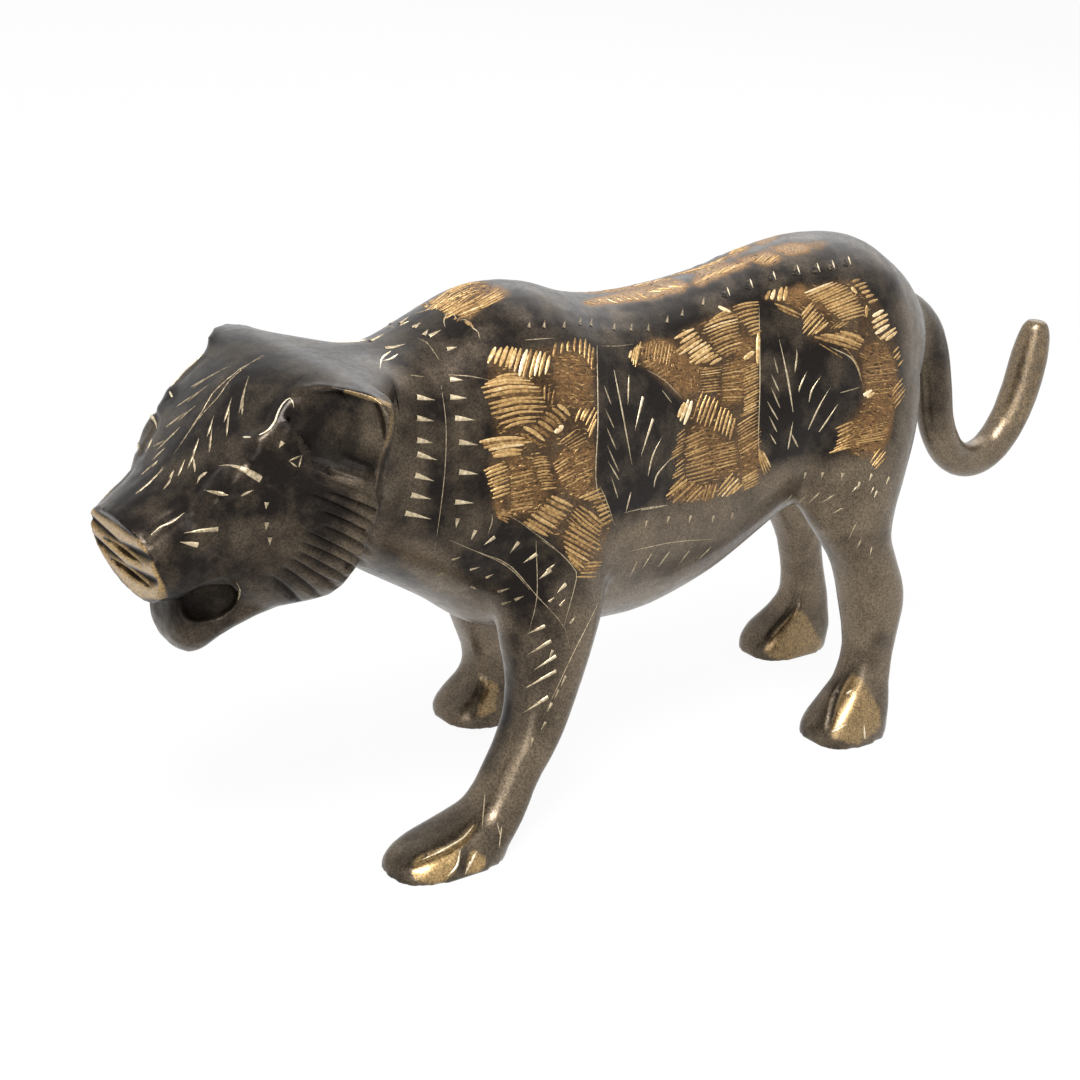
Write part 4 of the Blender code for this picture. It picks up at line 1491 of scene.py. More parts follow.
@dataclass(frozen=True)
class Patina:
    """Cast brass, blackened with a chemical patina, waxed and polished by handling.

    To the eye it is near black where it is thick and olive brown where it has worn thin,
    finely specked, with the soft grey sheen of wax over a faintly uneven casting. Marks
    on the skin say where it is thin, scraped, filled with dirt or gone; they also carry
    painted shade, in the ear's hollow and down the foreleg's front edge, and a painted
    highlight along the ear's rim.

    Attributes:
        name: Name of the material.
        thick: Colour of thick patina.
        thin: Colour of worn patina.
        scraped: Colour of the ground under the hatching.
        spine: Colour of the paler ground along the spine.
        dirt_and_shade: Colour of what lies in the furrows, and of the painted shade at the foot of
            the ear's hollow.
        bare_and_highlit: Colour of rubbed brass, and of the painted highlight along the ear's rim.
        blotch_mm: Size of the blotches in worn patina.
        mottle_mm: Size of the lumps that break up rubbed edges and the sheen.
        speck_mm: Size of the specks.
        grain_mm: Size of the casting's grain.
        grain_depth: Depth of that grain, in metres.
        wax: Weight of the coat of wax, which is on neither the dirt nor the painted shade.
        wax_roughness: Roughness of that coat.
    """

    name: str = "patinated_cast_brass"
    thick: str = "#18110c"
    thin: str = "#736553"
    scraped: str = "#84623c"
    spine: str = "#937a5e"
    dirt_and_shade: str = "#120e0b"
    bare_and_highlit: str = "#ac8f62"
    blotch_mm: float = 6.0
    mottle_mm: float = 1.1
    speck_mm: float = 0.3
    grain_mm: float = 0.22
    grain_depth: float = 0.06 * MM
    wax: float = 0.15
    wax_roughness: float = 0.22

    def noise(
        self,
        tree: bpy.types.NodeTree,
        where: bpy.types.NodeSocket,
        size: float,
    ) -> bpy.types.NodeSocket:
        """Return a noise whose lumps are so many millimetres across."""
        values = {"Vector": where, "Scale": 1 / (size * MM), "Detail": 4.0, "Roughness": 0.6}
        return add_node(tree, "ShaderNodeTexNoise", values).outputs["Fac"]

    def build(self) -> bpy.types.Material:
        """Make the material.

        Returns:
            The finish.
        """
        material = bpy.data.materials.new(self.name)
        material.use_nodes = True
        tree = material.node_tree
        shader = tree.nodes["Principled BSDF"]
        where = add_node(tree, "ShaderNodeTexCoord").outputs["Object"]
        marks = {}
        for mark in ("thin", "scraped", "dirt_and_shade", "bare_and_highlit"):
            marks[mark] = add_node(tree, "ShaderNodeAttribute", attribute_name=mark).outputs["Fac"]
        blotch = self.noise(tree, where, self.blotch_mm)
        mottle = self.noise(tree, where, self.mottle_mm)
        speck = self.noise(tree, where, self.speck_mm)
        grain = self.noise(tree, where, self.grain_mm)
        # Worn-thin patina: the mark, broken up by blotches some millimetres across. Where the mark
        # is lowered the patina is darker, as in the painted shade down the foreleg's front edge.
        blotches = add_node(
            tree,
            "ShaderNodeMapRange",
            {"Value": blotch, "From Min": 0.35, "From Max": 0.65, "To Min": -0.24, "To Max": 0.2},
        )
        thinness = add_node(
            tree,
            "ShaderNodeMath",
            {0: marks["thin"], 1: blotches.outputs["Result"]},
            operation="ADD",
            use_clamp=True,
        )
        skin = self.mix(tree, thinness.outputs[0], linear(self.thick), linear(self.thin))
        # Scraped ground between the hatching, from dark brown to tan, and pale on the spine.
        specks = add_node(
            tree,
            "ShaderNodeMapRange",
            {"Value": mottle, "From Min": 0.35, "From Max": 0.62, "To Min": 0.6, "To Max": 1.0},
        )
        ground = add_node(
            tree,
            "ShaderNodeMath",
            {0: marks["scraped"], 1: specks.outputs["Result"]},
            operation="MULTIPLY",
            use_clamp=True,
        )
        hatched = self.mix(tree, ground.outputs[0], skin, linear(self.scraped))
        pale = add_node(
            tree,
            "ShaderNodeMapRange",
            {"Value": marks["scraped"], "From Min": 1.0, "From Max": 1.6},
        )
        palest = self.mix(tree, pale.outputs["Result"], hatched, linear(self.spine))
        # Bare brass where handling or a file has taken the patina off, with a ragged edge, and a
        # painted highlight along the ear's rim.
        ragged = add_node(
            tree,
            "ShaderNodeMath",
            {0: mottle, 1: 0.6, 2: marks["bare_and_highlit"]},
            operation="MULTIPLY_ADD",
        )
        bared_and_highlit = add_node(
            tree,
            "ShaderNodeMapRange",
            {"Value": ragged.outputs[0], "From Min": 0.6, "From Max": 1.3},
        ).outputs["Result"]
        worn = self.mix(tree, bared_and_highlit, palest, linear(self.bare_and_highlit))
        soiled = self.mix(tree, marks["dirt_and_shade"], worn, linear(self.dirt_and_shade))
        # Specks of thicker and thinner patina: drawn at 0.3 mm, as finer ones would not show.
        lightness = add_node(
            tree,
            "ShaderNodeMapRange",
            {"Value": speck, "From Min": 0.38, "From Max": 0.62, "To Min": 0.6, "To Max": 1.4},
        )
        colour = add_node(
            tree,
            "ShaderNodeHueSaturation",
            {"Value": lightness.outputs["Result"], "Color": soiled},
        )
        metallic = add_node(
            tree,
            "ShaderNodeMapRange",
            {"Value": bared_and_highlit, "To Min": 0.85, "To Max": 0.95},
        )
        rough = add_node(
            tree,
            "ShaderNodeMapRange",
            {"Value": mottle, "From Min": 0.3, "From Max": 0.7, "To Min": 0.24, "To Max": 0.4},
        )
        dusty = add_node(
            tree,
            "ShaderNodeMath",
            {0: marks["scraped"], 1: 0.2, 2: rough.outputs["Result"]},
            operation="MULTIPLY_ADD",
        )
        dull = add_node(
            tree,
            "ShaderNodeMath",
            {0: marks["dirt_and_shade"], 1: 0.4, 2: dusty.outputs[0]},
            operation="MULTIPLY_ADD",
            use_clamp=True,
        )
        # Sand-cast grain, polished down to a faint unevenness, rougher where it is scraped.
        depth = add_node(
            tree,
            "ShaderNodeMath",
            {0: marks["scraped"], 1: 0.5, 2: 0.25},
            operation="MULTIPLY_ADD",
            use_clamp=True,
        )
        bump = add_node(
            tree,
            "ShaderNodeBump",
            {"Height": grain, "Strength": depth.outputs[0], "Distance": self.grain_depth},
        )
        # A thin coat of wax gives the dark patina its neutral grey sheen. Dirt and painted shade
        # have none.
        wax = add_node(
            tree,
            "ShaderNodeMath",
            {0: marks["dirt_and_shade"], 1: -self.wax, 2: self.wax},
            operation="MULTIPLY_ADD",
        )
        tree.links.new(wax.outputs[0], shader.inputs["Coat Weight"])
        shader.inputs["Coat Roughness"].default_value = self.wax_roughness
        tree.links.new(colour.outputs["Color"], shader.inputs["Base Color"])
        tree.links.new(metallic.outputs["Result"], shader.inputs["Metallic"])
        tree.links.new(dull.outputs[0], shader.inputs["Roughness"])
        tree.links.new(bump.outputs["Normal"], shader.inputs["Normal"])
        return material

    def mix(
        self,
        tree: bpy.types.NodeTree,
        share: bpy.types.NodeSocket,
        under: bpy.types.NodeSocket | tuple,
        over: tuple,
    ) -> bpy.types.NodeSocket:
        """Lay one colour over another.

        Args:
            tree: Node tree that takes the node.
            share: How much of the upper colour shows, from 0 to 1.
            under: Lower colour, or the socket that gives it.
            over: Upper colour.

        Returns:
            The socket of the mixed colour.
        """
        node = add_node(tree, "ShaderNodeMix", {0: share, 6: under, 7: over}, data_type="RGBA")
        return node.outputs[2]


@dataclass(frozen=True)
class CutBrass:
    """Brass laid bare by a graver: bright on a fresh facet, tan where it has dulled.

    The tone of a stroke runs from dirt over dull, at 0, and bright, at 1, to a gleam. To
    the eye that gives the hatching its uneven sparkle. The dark end also paints the shade in
    the wedges over the rump, and the gleam paints highlights.

    Attributes:
        name: Name of the material.
        dirt_and_shade: Colour of a stroke that is full of dirt, and of the painted shade in the
            wedges over the rump.
        dull: Colour of a stroke that has dulled.
        bright: Colour of a fresh stroke.
        gleam: Colour of the brightest strokes: painted highlights, as at the glints by the withers
            and along the brow's edge.
        tones: Tones of the dirt and painted shade, and of the gleam.
        wear_mm: Size of the lumps by which the tone varies along a stroke.
        wear: How far it varies.
        metallic: Metallic value, lowered by what is left of the patina.
        roughness: Roughness of a cut.
    """

    name: str = "graver_cut_brass"
    dirt_and_shade: str = "#2a2018"
    dull: str = "#755632"
    bright: str = "#c8a46c"
    gleam: str = "#f0dcb4"
    tones: tuple[float, float] = (-0.6, 1.6)
    wear_mm: float = 0.5
    wear: float = 0.35
    metallic: float = 0.7
    roughness: float = 0.42

    def build(self) -> bpy.types.Material:
        """Make the material.

        Returns:
            The finish.
        """
        material = bpy.data.materials.new(self.name)
        material.use_nodes = True
        tree = material.node_tree
        shader = tree.nodes["Principled BSDF"]
        where = add_node(tree, "ShaderNodeTexCoord").outputs["Object"]
        tone = add_node(tree, "ShaderNodeAttribute", attribute_name="tone").outputs["Fac"]
        wear = add_node(
            tree,
            "ShaderNodeTexNoise",
            {"Vector": where, "Scale": 1 / (self.wear_mm * MM), "Detail": 3.0},
        )
        shift = add_node(
            tree,
            "ShaderNodeMapRange",
            {
                "Value": wear.outputs["Fac"],
                "From Min": 0.35,
                "From Max": 0.65,
                "To Min": -self.wear,
                "To Max": self.wear,
            },
        )
        shown = add_node(
            tree,
            "ShaderNodeMath",
            {0: tone, 1: shift.outputs["Result"]},
            operation="ADD",
        )
        level = add_node(
            tree,
            "ShaderNodeMapRange",
            {
                "Value": shown.outputs[0],
                "From Min": self.tones[0],
                "From Max": self.tones[1],
            },
        )
        ramp = add_node(tree, "ShaderNodeValToRGB", {"Fac": level.outputs["Result"]})
        stops = ramp.color_ramp.elements
        stops[0].color = linear(self.dirt_and_shade)
        stops[1].color = linear(self.gleam)
        stops.new(0.27).color = linear(self.dull)
        stops.new(0.73).color = linear(self.bright)
        tree.links.new(ramp.outputs["Color"], shader.inputs["Base Color"])
        shader.inputs["Metallic"].default_value = self.metallic
        shader.inputs["Roughness"].default_value = self.roughness
        return material


@dataclass(frozen=True)
class MarkRow:
    """Marks of one kind, cut one by one, as pixels of the photograph.

    Attributes:
        routes: Middle lines of the marks.
        width: Full width of a mark, in mm.
        cut: Shape of a mark seen from above.
        stations: How many sections a mark has.
        tone: Brightness of the marks, as for a ladder.
    """

    routes: tuple[Pixels, ...]
    width: float
    cut: Cut = Cut.DART
    stations: int = 6
    tone: float = 0.5


HEAD_MARKS = (
    # stem and leaves of the fern between the ear and the nose
    MarkRow((((265, 356), (249, 364), (230, 380), (218, 397), (203, 413), (191, 429), (181, 443),
        (174, 454)),), 0.24, Cut.LINE, 20, 0.2),
    MarkRow((((214, 374), (191, 387)), ((198, 392), (176, 407)), ((186, 412), (166, 427)),
        ((175, 432), (157, 450)), ((158, 460), (141, 475)), ((249, 376), (245, 388), (239, 413)),
        ((232, 397), (224, 422)), ((214, 415), (207, 437)), ((199, 438), (193, 454)), ((185, 459),
        (178, 476)), ((165, 467), (152, 480), (136, 494)), ((174, 470), (169, 478)), ((193, 455),
        (195, 472))), 0.4, Cut.DART, 6, 0.3),
    # lids, the tear at the inner corner, and the whiskers
    MarkRow((((261, 479), (243, 469), (229, 465), (219, 466)),), 1.0, Cut.WEDGE, 9, 0.75),
    MarkRow((((204, 490), (216, 493), (228, 495)),), 0.6, Cut.DART, 6, 0.6),
    MarkRow((((254, 490), (247, 493), (241, 496)),), 0.5, Cut.DART, 6, 0.4),
    MarkRow((((197, 484), (200, 477), (207, 472)),), 0.55, Cut.DART, 6, 0.7),
    MarkRow((((218, 529), (200, 531), (184, 533)), ((198, 545), (180, 542))), 0.8, Cut.WEDGE, 6,
        0.55),
    # nicks of the cheek and the brow
    MarkRow((((283, 442), (279, 448)), ((267, 502), (266, 509)), ((267, 522), (266, 530)),
        ((270, 537), (270, 545))), 0.7, Cut.WEDGE, 4, 0.35),
    MarkRow((((302, 455), (289, 461)), ((289, 461), (297, 467)), ((302, 455), (299, 467))), 0.32,
        Cut.DART, 4, 0.4),
    # highlight on the corner of the mouth
    MarkRow((((236, 582), (240, 590), (238, 600)),), 0.3, Cut.DART, 5, 0.5),
    # painted highlight along the brow's edge, drawn as bright strokes
    MarkRow((((243, 437), (247, 437), (251, 437)), ((259, 435), (268, 430), (275, 421), (278, 412),
        (284, 402), (290, 398))), 0.34, Cut.BAR, 12, 1.2),
    MarkRow((((290, 398), (293, 403), (294, 408)),), 0.2, Cut.LINE, 5, 0.8),
    # painted highlight along the muzzle's upper edge, drawn as a bright stroke
    MarkRow((((151, 535), (160, 527), (172, 522), (184, 513)),), 0.3, Cut.LINE, 9, 0.7),
    # painted highlights: bright strokes where the dents between the ear and the withers glint
    MarkRow((((380, 369), (382, 358), (391, 351)), ((382, 361), (390, 359), (398, 354))), 0.42,
        Cut.DART, 6, 1.4),
)
BODY_MARKS = (
    # neck
    MarkRow((((417, 397), (435, 400)), ((417, 418), (434, 421)), ((417, 440), (433, 443)),
        ((417, 454), (437, 460)), ((415, 475), (434, 481)), ((411, 495), (431, 499)), ((405, 513),
        (431, 519)), ((450, 379), (463, 380)), ((450, 397), (467, 398)), ((455, 418), (475, 420)),
        ((459, 442), (478, 445)), ((459, 472), (478, 474)), ((455, 502), (474, 503))), 0.85,
        Cut.WEDGE, 6, 0.7),
    MarkRow((((441, 385), (446, 426), (444, 480), (434, 556)), ((410, 375), (425, 377)),
        ((418, 338), (428, 344), (440, 361)), ((448, 375), (468, 376), (490, 380)), ((525, 340),
        (540, 339), (555, 338)), ((601, 346), (618, 346), (634, 344))), 0.2, Cut.LINE, 16, 0.2),
    MarkRow((((370, 341), (384, 334)), ((400, 325), (409, 321)), ((412, 327), (421, 323)),
        ((429, 336), (441, 330)), ((447, 349), (457, 347))), 0.8, Cut.WEDGE, 5, 0.6),
    MarkRow((((445, 327), (444, 320), (448, 313), (452, 312), (456, 318), (460, 320)), ((460, 320),
        (466, 320), (473, 328), (478, 332), (480, 340))), 0.25, Cut.LINE, 12, 0.5),
    # leaves of the breast
    MarkRow((((458, 518), (456, 528)), ((476, 530), (471, 540)), ((495, 537), (484, 545)),
        ((519, 542), (510, 553)), ((537, 554), (523, 563)), ((551, 570), (539, 579)), ((566, 584),
        (557, 593))), 0.75, Cut.WEDGE, 5, 0.6),
    # outlines of the shoulder, the foreleg and the flank
    MarkRow((((449, 540), (480, 553), (509, 565), (536, 595), (564, 627), (571, 657)), ((541, 540),
        (560, 553), (575, 570), (576, 581), (564, 626)), ((606, 586), (590, 620), (571, 658),
        (556, 690), (543, 717)), ((536, 540), (537, 595), (529, 632)), ((507, 515), (520, 522),
        (536, 534), (552, 546), (563, 556), (571, 562)), ((475, 551), (500, 562), (515, 573),
        (530, 590)), ((492, 514), (492, 522), (488, 534)), ((600, 486), (608, 505), (614, 524)),
        ((624, 513), (645, 508), (667, 505)), ((631, 551), (675, 542), (718, 539)), ((647, 370),
        (664, 380), (682, 398)), ((840, 393), (861, 387)), ((662, 390), (672, 403))), 0.2, Cut.LINE,
        14, 0.35),
    MarkRow((((597, 345), (598, 420), (596, 482), (606, 510), (616, 526)), ((759, 307), (760, 380),
        (759, 449), (769, 464)), ((830, 347), (853, 360), (864, 388))), 0.26, Cut.LINE, 18, 0.55),
    # leaf between the shoulder and the saddle
    MarkRow((((614, 370), (622, 410), (632, 465)), ((629, 375), (628, 405)), ((631, 492),
        (626, 512)), ((641, 510), (668, 505))), 0.36, Cut.LINE, 9, 0.6),
    MarkRow((((643, 397), (635, 430)), ((653, 419), (641, 456))), 0.6, Cut.WEDGE, 6, 0.9),
    MarkRow((((662, 437), (653, 455), (648, 476)), ((672, 457), (657, 475), (654, 487))), 0.4,
        Cut.DART, 7, 0.6),
    MarkRow((((604, 385), (611, 404)), ((605, 408), (614, 428)), ((606, 426), (616, 449)),
        ((607, 445), (619, 472)), ((608, 461), (619, 480)), ((611, 476), (618, 498))), 0.3,
        Cut.DART, 6, 0.5),
    # leaf between the saddle and the haunch
    MarkRow((((778, 334), (785, 365), (789, 385), (793, 412)), ((796, 348), (797, 355), (795, 372)),
        ((807, 371), (800, 387), (799, 392)), ((821, 376), (812, 390), (809, 402)), ((830, 388),
        (820, 405), (808, 430)), ((838, 404), (826, 422), (819, 432)), ((790, 431), (798, 447)),
        ((793, 421), (788, 449))), 0.42, Cut.DART, 9, 0.65),
    MarkRow((((774, 357), (778, 373)), ((771, 374), (779, 391)), ((771, 387), (780, 408)),
        ((767, 401), (778, 420)), ((769, 416), (777, 432)), ((770, 434), (776, 444))), 0.36,
        Cut.DART, 5, 0.6),
    # belly and legs
    MarkRow((((647, 520), (645, 528)), ((669, 516), (667, 524)), ((691, 515), (689, 523)),
        ((714, 515), (712, 523)), ((733, 512), (731, 520)), ((806, 472), (804, 479)), ((823, 472),
        (821, 479)), ((843, 473), (841, 480)), ((860, 482), (857, 490)), ((872, 474), (869, 481)),
        ((877, 491), (874, 498)), ((889, 477), (886, 485))), 0.6, Cut.WEDGE, 4, 0.5),
    MarkRow((((629, 579), (637, 561)), ((642, 569), (652, 553)), ((658, 567), (670, 551)),
        ((679, 564), (689, 551)), ((699, 559), (711, 547)), ((785, 503), (792, 495)), ((797, 505),
        (806, 495)), ((808, 504), (820, 492)), ((821, 503), (834, 495)), ((832, 514), (843, 508)),
        ((852, 492), (858, 486)), ((870, 495), (874, 487)), ((848, 540), (857, 522)), ((857, 548),
        (861, 540)), ((870, 556), (872, 546))), 0.34, Cut.DART, 5, 0.5),
    MarkRow((((545, 626), (527, 634)), ((551, 641), (527, 655)), ((556, 656), (534, 670)),
        ((556, 671), (520, 691)), ((548, 697), (523, 713))), 0.65, Cut.WEDGE, 6, 0.55),
    # small nicks of the breast and the upper foreleg
    MarkRow((((498, 592), (510, 588)), ((502, 604), (512, 601)), ((515, 600), (524, 596)),
        ((547, 571), (556, 563)), ((549, 602), (555, 597)), ((560, 606), (566, 598)), ((570, 624),
        (576, 616)), ((553, 650), (549, 659)), ((566, 676), (561, 686)), ((552, 703), (547, 712)),
        ((559, 690), (554, 700)), ((546, 722), (541, 730)), ((533, 737), (531, 746)), ((436, 576),
        (446, 572)), ((452, 560), (461, 557)), ((470, 570), (480, 567)), ((470, 586), (478, 590)),
        ((486, 578), (494, 574))), 0.55, Cut.WEDGE, 4, 0.25),
    # scratches of the shin and the heel, bright facets of the front paw
    MarkRow((((485, 793), (483, 816), (482, 830)), ((502, 825), (499, 849)), ((497, 822),
        (501, 838))), 0.25, Cut.LINE, 6, 0.5),
    MarkRow((((474, 825), (465, 836), (455, 843), (437, 853), (419, 861)), ((460, 850), (457, 866),
        (448, 876)), ((477, 851), (469, 866), (465, 875))), 0.45, Cut.LINE, 9, 1.1),
    MarkRow((((852, 690), (846, 694)), ((847, 724), (832, 732)), ((864, 724), (865, 739))), 0.5,
        Cut.DART, 5, 1.2),
)
# Wedges along the spine: small ones to the saddle, large ones over the rump, painted dark as shade
# in their dents.
SPINE_NICKS = (
    (529, 324), (544, 324), (564, 324), (580, 321), (591, 322), (614, 326), (631, 327),
    (648, 327), (667, 319), (682, 312), (703, 301),
)
RUMP_NICKS = ((725, 292), (748, 284), (771, 276), (795, 270), (815, 268), (830, 265), (846, 261))
# What is cut at each nick: ends from the nick's pixel, width in mm, shape and tone.
SPINE_CUTS = ((((0, 4), (1, -4)), 0.6, Cut.WEDGE, 0.0),)
RUMP_CUTS = (
    # painted shade: each large wedge takes the darkest tone
    (((0, 5), (0, -5)), 1.3, Cut.WEDGE, -0.6),
    (((5, 4), (2, -5)), 0.4, Cut.DART, 1.1),
)


@dataclass
class Marks:
    """Single marks of the graver: fern, lids, nicks, leaves and outlines.

    Attributes:
        engraving: Piece that takes the marks.
    """

    engraving: Engraving

    def cut(self, rows: tuple[MarkRow, ...]) -> None:
        """Cut rows of marks on both flanks.

        Args:
            rows: The rows.
        """
        for row in rows:
            self.engraving.both(row.routes, row.width * MM, row.cut, row.stations, row.tone)

    def cut_spine(self) -> None:
        """Cut the wedges along the spine."""
        for nicks, cuts in ((SPINE_NICKS, SPINE_CUTS), (RUMP_NICKS, RUMP_CUTS)):
            for x, y in nicks:
                for ends, width, cut, tone in cuts:
                    route = tuple((x + right, y + down) for right, down in ends)
                    self.engraving.both((route,), width * MM, cut, 4, tone)


@dataclass
class Studio:
    """Pale floor and soft lamps.

    Attributes:
        floor_size: Side of the floor, in metres.
        floor_colour: Colour of the paper.
        floor_white: How much of the seen floor is plain white, from 0 to 1.
        lamps: Name, place in metres, side in metres and power in watts of each lamp.
        aim: Place that the lamps face.
        sky_light: Strength of the sky where it only lights the scene.
    """

    floor_size: float = 6.0
    floor_colour: str = "#f4f3f1"
    floor_white: float = 0.94
    lamps: tuple[tuple[str, tuple[float, float, float], float, float], ...] = (
        ("key", (-0.35, -0.3, 0.8), 0.32, 9.0),
        ("fill", (-0.8, -0.8, 0.35), 0.6, 3.0),
        ("rim", (0.65, 0.35, 0.8), 1.0, 5.0),
    )
    aim: tuple[float, float, float] = (0.0, 0.0, 0.04)
    sky_light: float = 0.4

    def build(self) -> None:
        """Make the floor, the lamps and the world."""
        shape = bmesh.new()
        bmesh.ops.create_grid(shape, x_segments=1, y_segments=1, size=self.floor_size / 2)
        mesh = bpy.data.meshes.new("floor")
        shape.to_mesh(mesh)
        shape.free()
        floor = bpy.data.objects.new("floor", mesh)
        bpy.context.collection.objects.link(floor)
        mesh.materials.append(self.floor_paint())
        for name, place, size, power in self.lamps:
            self.lamp(name, place, size, power)
        self.sky()

    def seen(self, tree: bpy.types.NodeTree) -> bpy.types.NodeSocket:
        """Tell what is seen from what only lights the scene.

        Args:
            tree: Node tree that takes the nodes.

        Returns:
            A socket that is 1 for what shows to the camera or in the metal.
        """
        path = add_node(tree, "ShaderNodeLightPath")
        total = path.outputs["Is Camera Ray"]
        for name in ("Is Glossy Ray", "Is Transmission Ray"):
            either = {0: total, 1: path.outputs[name]}
            total = add_node(tree, "ShaderNodeMath", either, operation="ADD").outputs[0]
        return total

    def floor_paint(self) -> bpy.types.Material:
        """Make the floor's finish: white paper that keeps the shadow.

        Returns:
            The material. Where it is seen, part of it is plain white, so that it joins
            the white background and the shadow stays light.
        """
        material = bpy.data.materials.new("white_paper")
        material.use_nodes = True
        tree = material.node_tree
        paper = tree.nodes["Principled BSDF"]
        paper.inputs["Base Color"].default_value = linear(self.floor_colour)
        paper.inputs["Roughness"].default_value = 0.9
        share = add_node(
            tree,
            "ShaderNodeMath",
            {0: self.seen(tree), 1: self.floor_white},
            operation="MULTIPLY",
            use_clamp=True,
        )
        white = add_node(tree, "ShaderNodeEmission", {"Color": (1, 1, 1, 1), "Strength": 1.0})
        both = add_node(
            tree,
            "ShaderNodeMixShader",
            {0: share.outputs[0], 1: paper.outputs[0], 2: white.outputs[0]},
        )
        tree.links.new(both.outputs[0], tree.nodes["Material Output"].inputs["Surface"])
        return material

    def lamp(
        self,
        name: str,
        place: tuple[float, float, float],
        size: float,
        power: float,
    ) -> None:
        """Hang one square lamp that faces the figurine.

        Args:
            name: Name of the lamp.
            place: Where it hangs.
            size: Length of its side.
            power: Its power in watts.
        """
        data = bpy.data.lights.new(name, "AREA")
        data.shape = "SQUARE"
        data.size = size
        data.energy = power
        lamp = bpy.data.objects.new(name, data)
        aim = Vector(self.aim) - Vector(place)
        lamp.location = place
        lamp.rotation_mode = "QUATERNION"
        lamp.rotation_quaternion = aim.to_track_quat("-Z", "Y")
        bpy.context.collection.objects.link(lamp)

    def sky(self) -> None:
        """Light the scene from all round, white only where the camera looks at it."""
        world = bpy.data.worlds.new("studio")
        bpy.context.scene.world = world
        world.use_nodes = True
        tree = world.node_tree
        tree.nodes.clear()
        strength = add_node(
            tree,
            "ShaderNodeMapRange",
            {"Value": self.seen(tree), "To Min": self.sky_light, "To Max": 1.0},
        )
        paint = add_node(
            tree,
            "ShaderNodeBackground",
            {"Color": (1, 1, 1, 1), "Strength": strength.outputs["Result"]},
        )
        add_node(tree, "ShaderNodeOutputWorld", {"Surface": paint.outputs["Background"]})


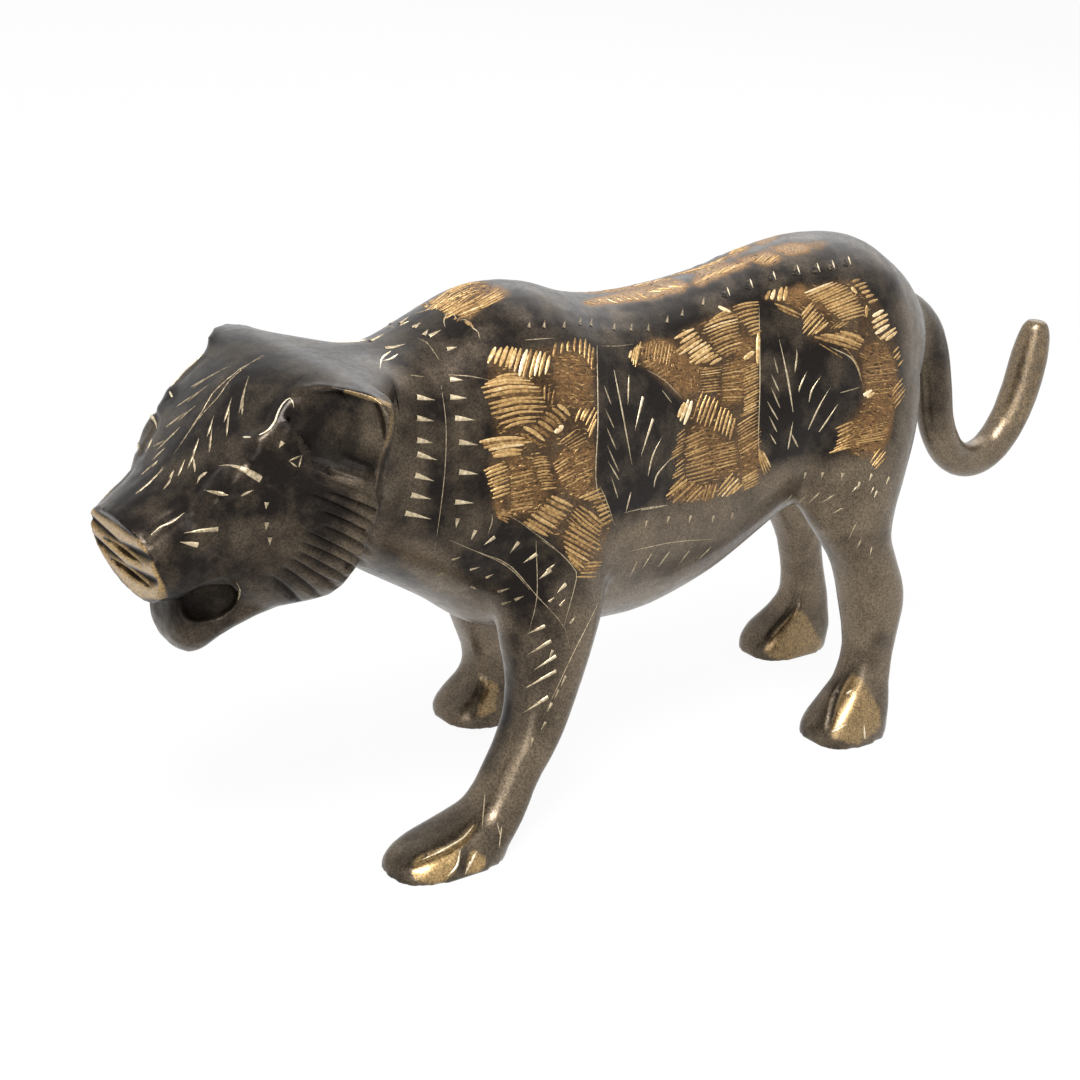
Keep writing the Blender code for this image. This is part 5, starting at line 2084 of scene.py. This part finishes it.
@dataclass
class Wear:
    """Marks on a skin that say where its patina is thin, scraped or gone, and where shade and
    highlights are painted into it.

    Pairs are where a mark starts and where it is full, in mm.

    Attributes:
        skin: Skin to mark.
        camera: Camera that places the fields.
        sole: Heights under which the far flanks of the paws are rubbed.
        sole_edge: Heights over which that begins, above the floor.
        sideways: How squarely such a flank faces the far side.
        sole_level: How bare they are.
        plain: Thinness of the patina all over.
        low: Heights between which the patina thickens, from the legs up to the flanks.
        low_level: How much thinner the legs are.
        head: Places along the body between which the head ends.
        head_hold: How much of that thinness the head is spared.
        head_level: Least thinness of the head.
        paw: Heights between which the tops of the paws end.
        paw_hold: How much more patina they keep.
        rump: Places along the body between which the rump starts.
        rump_level: Least thinness of the rump.
        tail: Places along the body between which the tail starts, which is worn all over.
    """

    skin: FineSkin
    camera: PhotoCamera
    sole: tuple[float, float] = (4, 10)
    sole_edge: tuple[float, float] = (1.0, 2.0)
    sideways: tuple[float, float] = (0.6, 0.95)
    sole_level: float = 0.5
    plain: float = 0.12
    low: tuple[float, float] = (29, 47)
    low_level: float = 0.8
    head: tuple[float, float] = (-66, -60)
    head_hold: float = 0.62
    head_level: float = 0.1
    paw: tuple[float, float] = (5, 14)
    paw_hold: float = 0.35
    rump: tuple[float, float] = (46, 58)
    rump_level: float = 0.3
    tail: tuple[float, float] = (60, 72)

    def __post_init__(self) -> None:
        """Look at the skin once, as it is and with the far flank mirrored."""
        self.direct = View.of(self.skin, self.camera, False)
        self.mirrored = View.of(self.skin, self.camera, True)
        self.places = self.skin.places() / MM

    def strip(self, route: Pixels, width: float, core: float) -> np.ndarray:
        """Return how much of a soft strip each corner takes.

        Args:
            route: Pixels of the strip's middle line.
            width: Full width of the strip, in mm.
            core: Share of the width within which the strip is full.

        Returns:
            From 0 outside to 1 inside, one number to a corner.
        """
        away, _ = reach(self.mirrored.pixels, route)
        share = 1 - smooth_step(width * MM * core, width * MM / 2, away)
        return share * smooth_step(*EDGE_FACING, self.mirrored.facing)

    def scraped(self) -> np.ndarray:
        """Mark the grounds of the hatching.

        Returns:
            How bare each corner is scraped.
        """
        marked = np.zeros(len(self.mirrored.facing))
        for hatch in FIELDS:
            for ground in hatch.grounds:
                held = inside(self.mirrored.pixels, ground.outline)
                marked[held & (self.mirrored.facing > GROUND_FACING)] = ground.level
        return marked

    def bare_and_highlit(self) -> np.ndarray:
        """Mark the muzzle, the paws, the tip of the tail and the rubbed edges, with the painted
        highlight along the ear's rim.

        Returns:
            How bare each corner is rubbed or filed.
        """
        marked = np.zeros(len(self.mirrored.facing))
        for rub in RUBS:
            view = self.mirrored if rub.both else self.direct
            held = inside(view.pixels, rub.outline) & (view.facing > rub.facing)
            marked[held] = np.maximum(marked[held], rub.level)
        # The far flanks of the paws are rubbed as the near ones are.
        height = self.places[:, 2]
        low = 1 - smooth_step(*self.sole, height)
        sideways = smooth_step(*self.sideways, self.skin.normals()[:, 1])
        sideways *= smooth_step(*self.sole_edge, height)
        marked = np.maximum(marked, low * sideways * self.sole_level)
        for route, width, level in RUBBED_AND_HIGHLIT_EDGES:
            marked = np.maximum(marked, self.strip(route, width, 0.2) * level)
        return marked

    def thin(self) -> np.ndarray:
        """Mark where hands have worn the patina thin, and the painted shade down the foreleg's
        front edge.

        Returns:
            How thin the patina of each corner is.
        """
        forward, height = self.places[:, 0], self.places[:, 2]
        head = 1 - smooth_step(*self.head, forward)
        low = self.low_level * (1 - smooth_step(*self.low, height))
        marked = self.plain + low * (1 - self.head_hold * head)
        marked = marked - self.paw_hold * (1 - smooth_step(*self.paw, height))
        marked = np.maximum(marked, self.head_level * head)
        marked = np.maximum(marked, self.rump_level * smooth_step(*self.rump, forward))
        marked = np.maximum(marked, smooth_step(*self.tail, forward))
        for route, width, level in WORN_AND_SHADED:
            strip = self.strip(route, width, 0.15) * level
            marked = np.maximum(marked, strip) if level > 0 else marked + strip
        return marked

    def mark(self) -> None:
        """Store the marks on the skin, with softened edges."""
        self.skin.mark("scraped", self.skin.spread(self.scraped()))
        self.skin.mark("thin", self.skin.spread(self.thin()))
        self.skin.mark("bare_and_highlit", self.skin.spread(self.bare_and_highlit()))


def main() -> None:
    """Build the looks piece by piece."""
    logging.basicConfig(level=logging.INFO, format="%(name)s %(message)s")
    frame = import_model()
    casting = frame["nodes"][NODE]
    camera = PhotoCamera()
    camera.build()
    patina = Patina().build()
    cut_brass = CutBrass().build()
    scribed_brass = CutBrass("scribed_brass", "#1f1a15", "#80715a", "#cdbc9c", "#f2e8d2").build()
    skins = (Head(), Body())
    trees = []
    for skin in skins:
        skin.dress(casting, camera)
        Wear(skin, camera).mark()
        skin.finish(patina)
        shape = bmesh.new()
        shape.from_mesh(skin.mesh)
        trees.append(BVHTree.FromBMesh(shape))
        shape.free()
    for number, hatch in enumerate(FIELDS):
        engraving = Engraving(hatch.name, camera, trees, seed=number + 1)
        Hatcher(engraving).fill(hatch)
        engraving.build(cut_brass)
    head_marks = Engraving("head_marks", camera, trees, seed=21)
    Marks(head_marks).cut(HEAD_MARKS)
    head_marks.build(scribed_brass)
    body_marks = Engraving("body_marks", camera, trees, seed=22)
    Marks(body_marks).cut(BODY_MARKS)
    Marks(body_marks).cut_spine()
    body_marks.build(scribed_brass)
    Studio().build()
    bpy.context.scene.view_settings.view_transform = "Standard"


if __name__ == "__main__":
    main()
